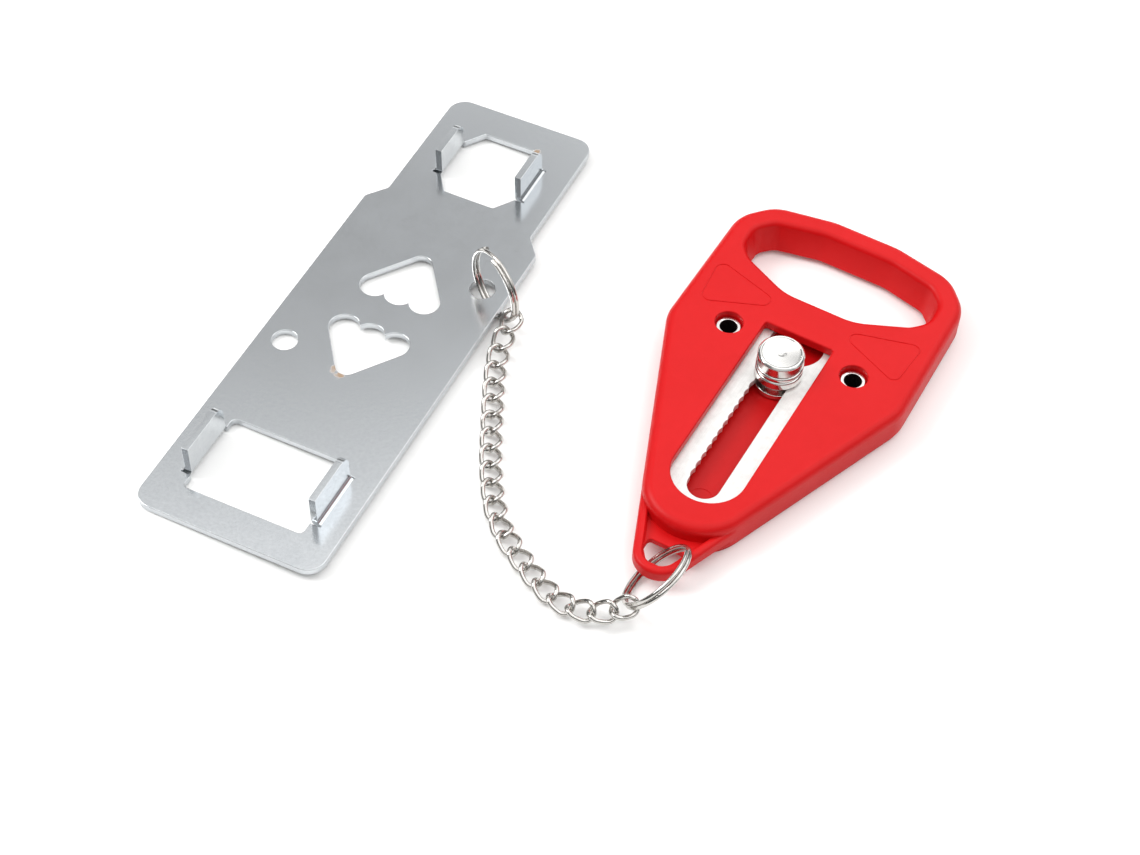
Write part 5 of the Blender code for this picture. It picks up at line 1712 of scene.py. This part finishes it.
@dataclass
class DoorLock:
    """The whole lock as it lies: the plate, then the chain that hangs on it, then the grip."""

    groups: dict[str, NodeTree]
    plate_tilt: float = 2.1
    plate_ring: RingShape = RingShape(azimuth=150.0, lean=0.0, hook=-150.0, ends=90.0)
    grip_ring: RingShape = RingShape(azimuth=87.0, lean=-40.0, hook=-155.0, ends=60.0)
    loop_height: float = 0.0032
    loop_place: Point = (0.0007, 0.0579)
    grip_turn: float = -3.13
    knob_along: float = -0.0055
    # The back cover's red is a darker copy of the grip's red: painted shade for its channel and hollows,
    # which lie in shadow.
    cover_red_painted_shade: RedMouldingFinish = RedMouldingFinish(
        colour=(0.560, 0.004, 0.005, 1.0), deep=(0.500, 0.002, 0.003, 1.0))

    def carry(self, kind: type, place: Matrix, body: str, slot: Slot, finish: Finish) -> SubAssembly:
        """Return a sub-assembly in its place on a body, with the material made for it."""
        return kind(place, body, slot, finish.build(self.groups, place))

    def plate(self) -> Vector:
        """Make the plate, which lies on its left edge, tilted about it.

        Returns:
            The middle of the hole that its ring passes through.
        """
        tilt = math.radians(self.plate_tilt)
        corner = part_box("strike_plate")[0]
        left = corner.x + StrikePlate.sheet * math.sin(tilt)
        edge = Matrix.Translation((left, corner.y, 0.0)) @ Matrix.Rotation(-tilt, 4, "Y")
        place = edge @ Matrix.Translation((StrikePlate.width / 2.0, 0.0, 0.0))
        plate = self.carry(StrikePlate, place, "plate", Slot.PLATE, ZincFinish())
        plate.build()
        return place @ Vector((plate.hole_side, plate.hearts_middle + plate.hole_along, plate.sheet / 2.0))

    def chain(self, hole: Vector) -> Vector:
        """Make the ring in the plate's hole, the chain and the grip's ring.

        Args:
            hole: Middle of the plate's hole.

        Returns:
            The middle of the grip's ring.
        """
        nickel = NickelWireFinish().build(self.groups, Matrix.Identity(4))
        first, second = self.plate_ring, self.grip_ring
        centre = hole - first.spoke(first.clock_at(hole.z))
        SplitRing(frame_at(centre, first.axes()), "plate_ring", Slot.CHAIN, nickel, first).build("plate")
        chain = CurbChain(Vector())
        hooked = centre + first.spoke(first.hook)
        chain.start = hooked - chain.direction(0) * first.reach(chain.wire, chain.overlap())
        chain.build(nickel)
        hooked = chain.joints()[-1] - chain.direction(-1) * second.reach(chain.wire, chain.overlap())
        centre = hooked - second.spoke(second.hook)
        centre.z = second.height()
        SplitRing(frame_at(centre, second.axes()), "grip_ring", Slot.CHAIN, nickel, second).build("grip")
        return centre

    def grip(self, centre: Vector) -> None:
        """Make the grip, which hangs on its ring by its loop, and the knob in its slot.

        Args:
            centre: Middle of the grip's ring.
        """
        passing = centre + self.grip_ring.spoke(self.grip_ring.clock_at(self.loop_height))
        turn = Matrix.Rotation(math.radians(self.grip_turn), 4, "Z")
        place = Matrix.Translation(passing) @ turn @ Matrix.Translation((*self.loop_place, -passing.z))
        self.carry(Housing, place, "grip", Slot.GRIP, RedMouldingFinish()).build()
        self.carry(BackCover, place, "grip", Slot.GRIP, self.cover_red_painted_shade).build()
        self.carry(SlotPlate, place, "grip", Slot.SLOT_PLATE, SlotSteelFinish()).build()
        for hand in Hand:
            seat = place @ Matrix.Translation((hand.value * Rivets.side, 0.0, 0.0))
            nickel = TurnedNickelFinish(bore=Rivets.bore)
            self.carry(EyeletRivet, seat, "grip", Slot.KNOB, nickel).build(hand)
        knob = place @ Matrix.Translation((0.0, self.knob_along, 0.0))
        Knob(knob).build(TurnedNickelFinish().build(self.groups, knob))

    def build(self) -> None:
        """Make every piece in the order that the lock hangs together."""
        self.grip(self.chain(self.plate()))


# Studio

@dataclass(frozen=True)
class Studio:
    """White floor, soft light and the camera at the photograph's viewing angle.

    A patch of light is its brightness, then the ramps that bound it, each with the part of the
    direction that it follows. A lamp is its name, place, size and power. The focal length and the
    picture's width are in pixels, and the sensor is in millimetres.
    """

    position: Corner = (0.1203, -0.2869, 0.3743)
    azimuth: float = 112.8
    pitch: float = 51.05
    roll: float = 3.98
    focal: float = 2355.0
    picture_width: float = 1140.0
    sensor: float = 36.0
    nearest: float = 0.01
    floor_half: float = 3.0
    floor_colour: Colour = (0.93, 0.93, 0.92, 1.0)
    floor_glow: float = 0.06
    white: Colour = (1.0, 1.0, 1.0, 1.0)
    darkest: float = 0.06
    band: float = 0.555
    patches: tuple[tuple, ...] = (
        (0.36, (Way.Z, 0.05, 0.50)),
        (1.46, (Way.Z, 0.70, 0.85)),
        (-0.803, (Way.Z, 0.87, 0.97)),
        (0.90, (Way.BAND, 0.13, 0.06), (Way.Y, 0.0, 0.4)),
        (0.92, (Way.X, -0.36, -0.10), (Way.Z, 0.40, 0.65)),
        (0.30, (Way.X, -0.375, -0.325), (Way.Y, 0.61, 0.68)),
        (0.20, (Way.X, -0.395, -0.445), (Way.Z, 0.69, 0.76)))
    front: Point = (0.05, -0.55)
    front_shade: Corner = (1.0, -0.35)
    lamps: tuple[tuple, ...] = (
        ("key", (-0.95, -0.25, 0.90), 0.6, 9.5), ("fill", (0.95, 0.30, 0.80), 0.8, 1.0))

    def camera(self) -> None:
        """Make the camera and look through it."""
        azimuth, pitch, roll = [math.radians(angle) for angle in (self.azimuth, self.pitch, self.roll)]
        level = Vector((math.cos(azimuth), math.sin(azimuth), 0.0))
        side = Vector((math.sin(azimuth), -math.cos(azimuth), 0.0))
        forward = level * math.cos(pitch) - UP * math.sin(pitch)
        above = side.cross(forward)
        right = side * math.cos(roll) + above * math.sin(roll)
        up = above * math.cos(roll) - side * math.sin(roll)
        data = bpy.data.cameras.new("camera")
        data.sensor_width = self.sensor
        data.lens = self.focal / self.picture_width * self.sensor
        data.clip_start = self.nearest
        camera = new_object("camera", data)
        camera.matrix_world = frame_at(Vector(self.position), (right, up, -forward))
        bpy.context.scene.camera = camera

    def floor(self) -> None:
        """Make the floor: it takes the shadow, and the camera sees it as white."""
        half = self.floor_half
        square = [(-half, -half, 0.0), (half, -half, 0.0), (half, half, 0.0), (-half, half, 0.0)]
        mesh = bpy.data.meshes.new("floor")
        mesh.from_pydata(square, [], [(0, 1, 2, 3)])
        floor = new_object("floor", mesh)
        material = bpy.data.materials.new("floor_paper")
        material.use_nodes = True
        graph = Graph(material.node_tree)
        diffuse = graph.add("ShaderNodeBsdfDiffuse", {"Color": self.floor_colour})
        camera_ray = graph.add("ShaderNodeLightPath").outputs["Is Camera Ray"]
        strength = graph.math("MULTIPLY", camera_ray, self.floor_glow)
        glow = graph.add("ShaderNodeEmission", {"Strength": strength})
        both = graph.add("ShaderNodeAddShader", {0: diffuse.outputs[0], 1: glow.outputs[0]})
        graph.add("ShaderNodeOutputMaterial", {"Surface": both.outputs[0]})
        mesh.materials.append(material)

    def world(self) -> None:
        """Make the surroundings: white to the camera, brighter overhead, darker low down and in front."""
        world = bpy.data.worlds.new("studio")
        bpy.context.scene.world = world
        world.use_nodes = True
        graph = Graph(world.node_tree)
        direction = graph.add("ShaderNodeTexCoord").outputs["Generated"]
        x, y, z = graph.add("ShaderNodeSeparateXYZ", {0: direction}).outputs
        parts = (x, y, z, graph.math("ABSOLUTE", graph.math("SUBTRACT", z, self.band)))
        level = self.darkest
        for light, *ramps in self.patches:
            for way, low, high in ramps:
                light = graph.math("MULTIPLY", graph.ramp(parts[way.value], low, high), light)
            level = graph.math("ADD", light, level)
        shade = graph.total(self.front_shade, graph.ramp(y, *self.front))
        seen = graph.add("ShaderNodeBackground", {"Color": self.white, "Strength": 1.0})
        lit = graph.add("ShaderNodeBackground", {"Strength": graph.math("MULTIPLY", level, shade)})
        camera_ray = graph.add("ShaderNodeLightPath").outputs["Is Camera Ray"]
        both = graph.add("ShaderNodeMixShader", {0: camera_ray, 1: lit.outputs[0], 2: seen.outputs[0]})
        graph.add("ShaderNodeOutputWorld", {"Surface": both.outputs[0]})

    def lamp(self, name: str, place: Vector, size: float, power: float) -> None:
        """Make a soft square lamp that looks at the object.

        Args:
            name: Name of the lamp.
            place: Where it stands.
            size: Its width.
            power: Its power in watts.
        """
        data = bpy.data.lights.new(name, "AREA")
        data.size = size
        data.energy = power
        turn = place.to_track_quat("Z", "Y").to_matrix().to_4x4()
        new_object(name, data).matrix_world = Matrix.Translation(place) @ turn

    def build(self) -> None:
        """Make everything round the object."""
        self.camera()
        self.floor()
        self.world()
        for name, place, size, power in self.lamps:
            self.lamp(name, Vector(place), size, power)
        bpy.context.scene.view_settings.view_transform = "Standard"


def main() -> None:
    """Build the lock, then the studio."""
    logging.basicConfig(level=logging.INFO, format="%(name)s: %(message)s")
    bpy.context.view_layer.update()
    groups = {tree.name: tree for tree in (mottle_group(), brushing_group(), edge_group(), spot_group())}
    DoorLock(groups).build()
    Studio().build()


if __name__ == "__main__":
    main()
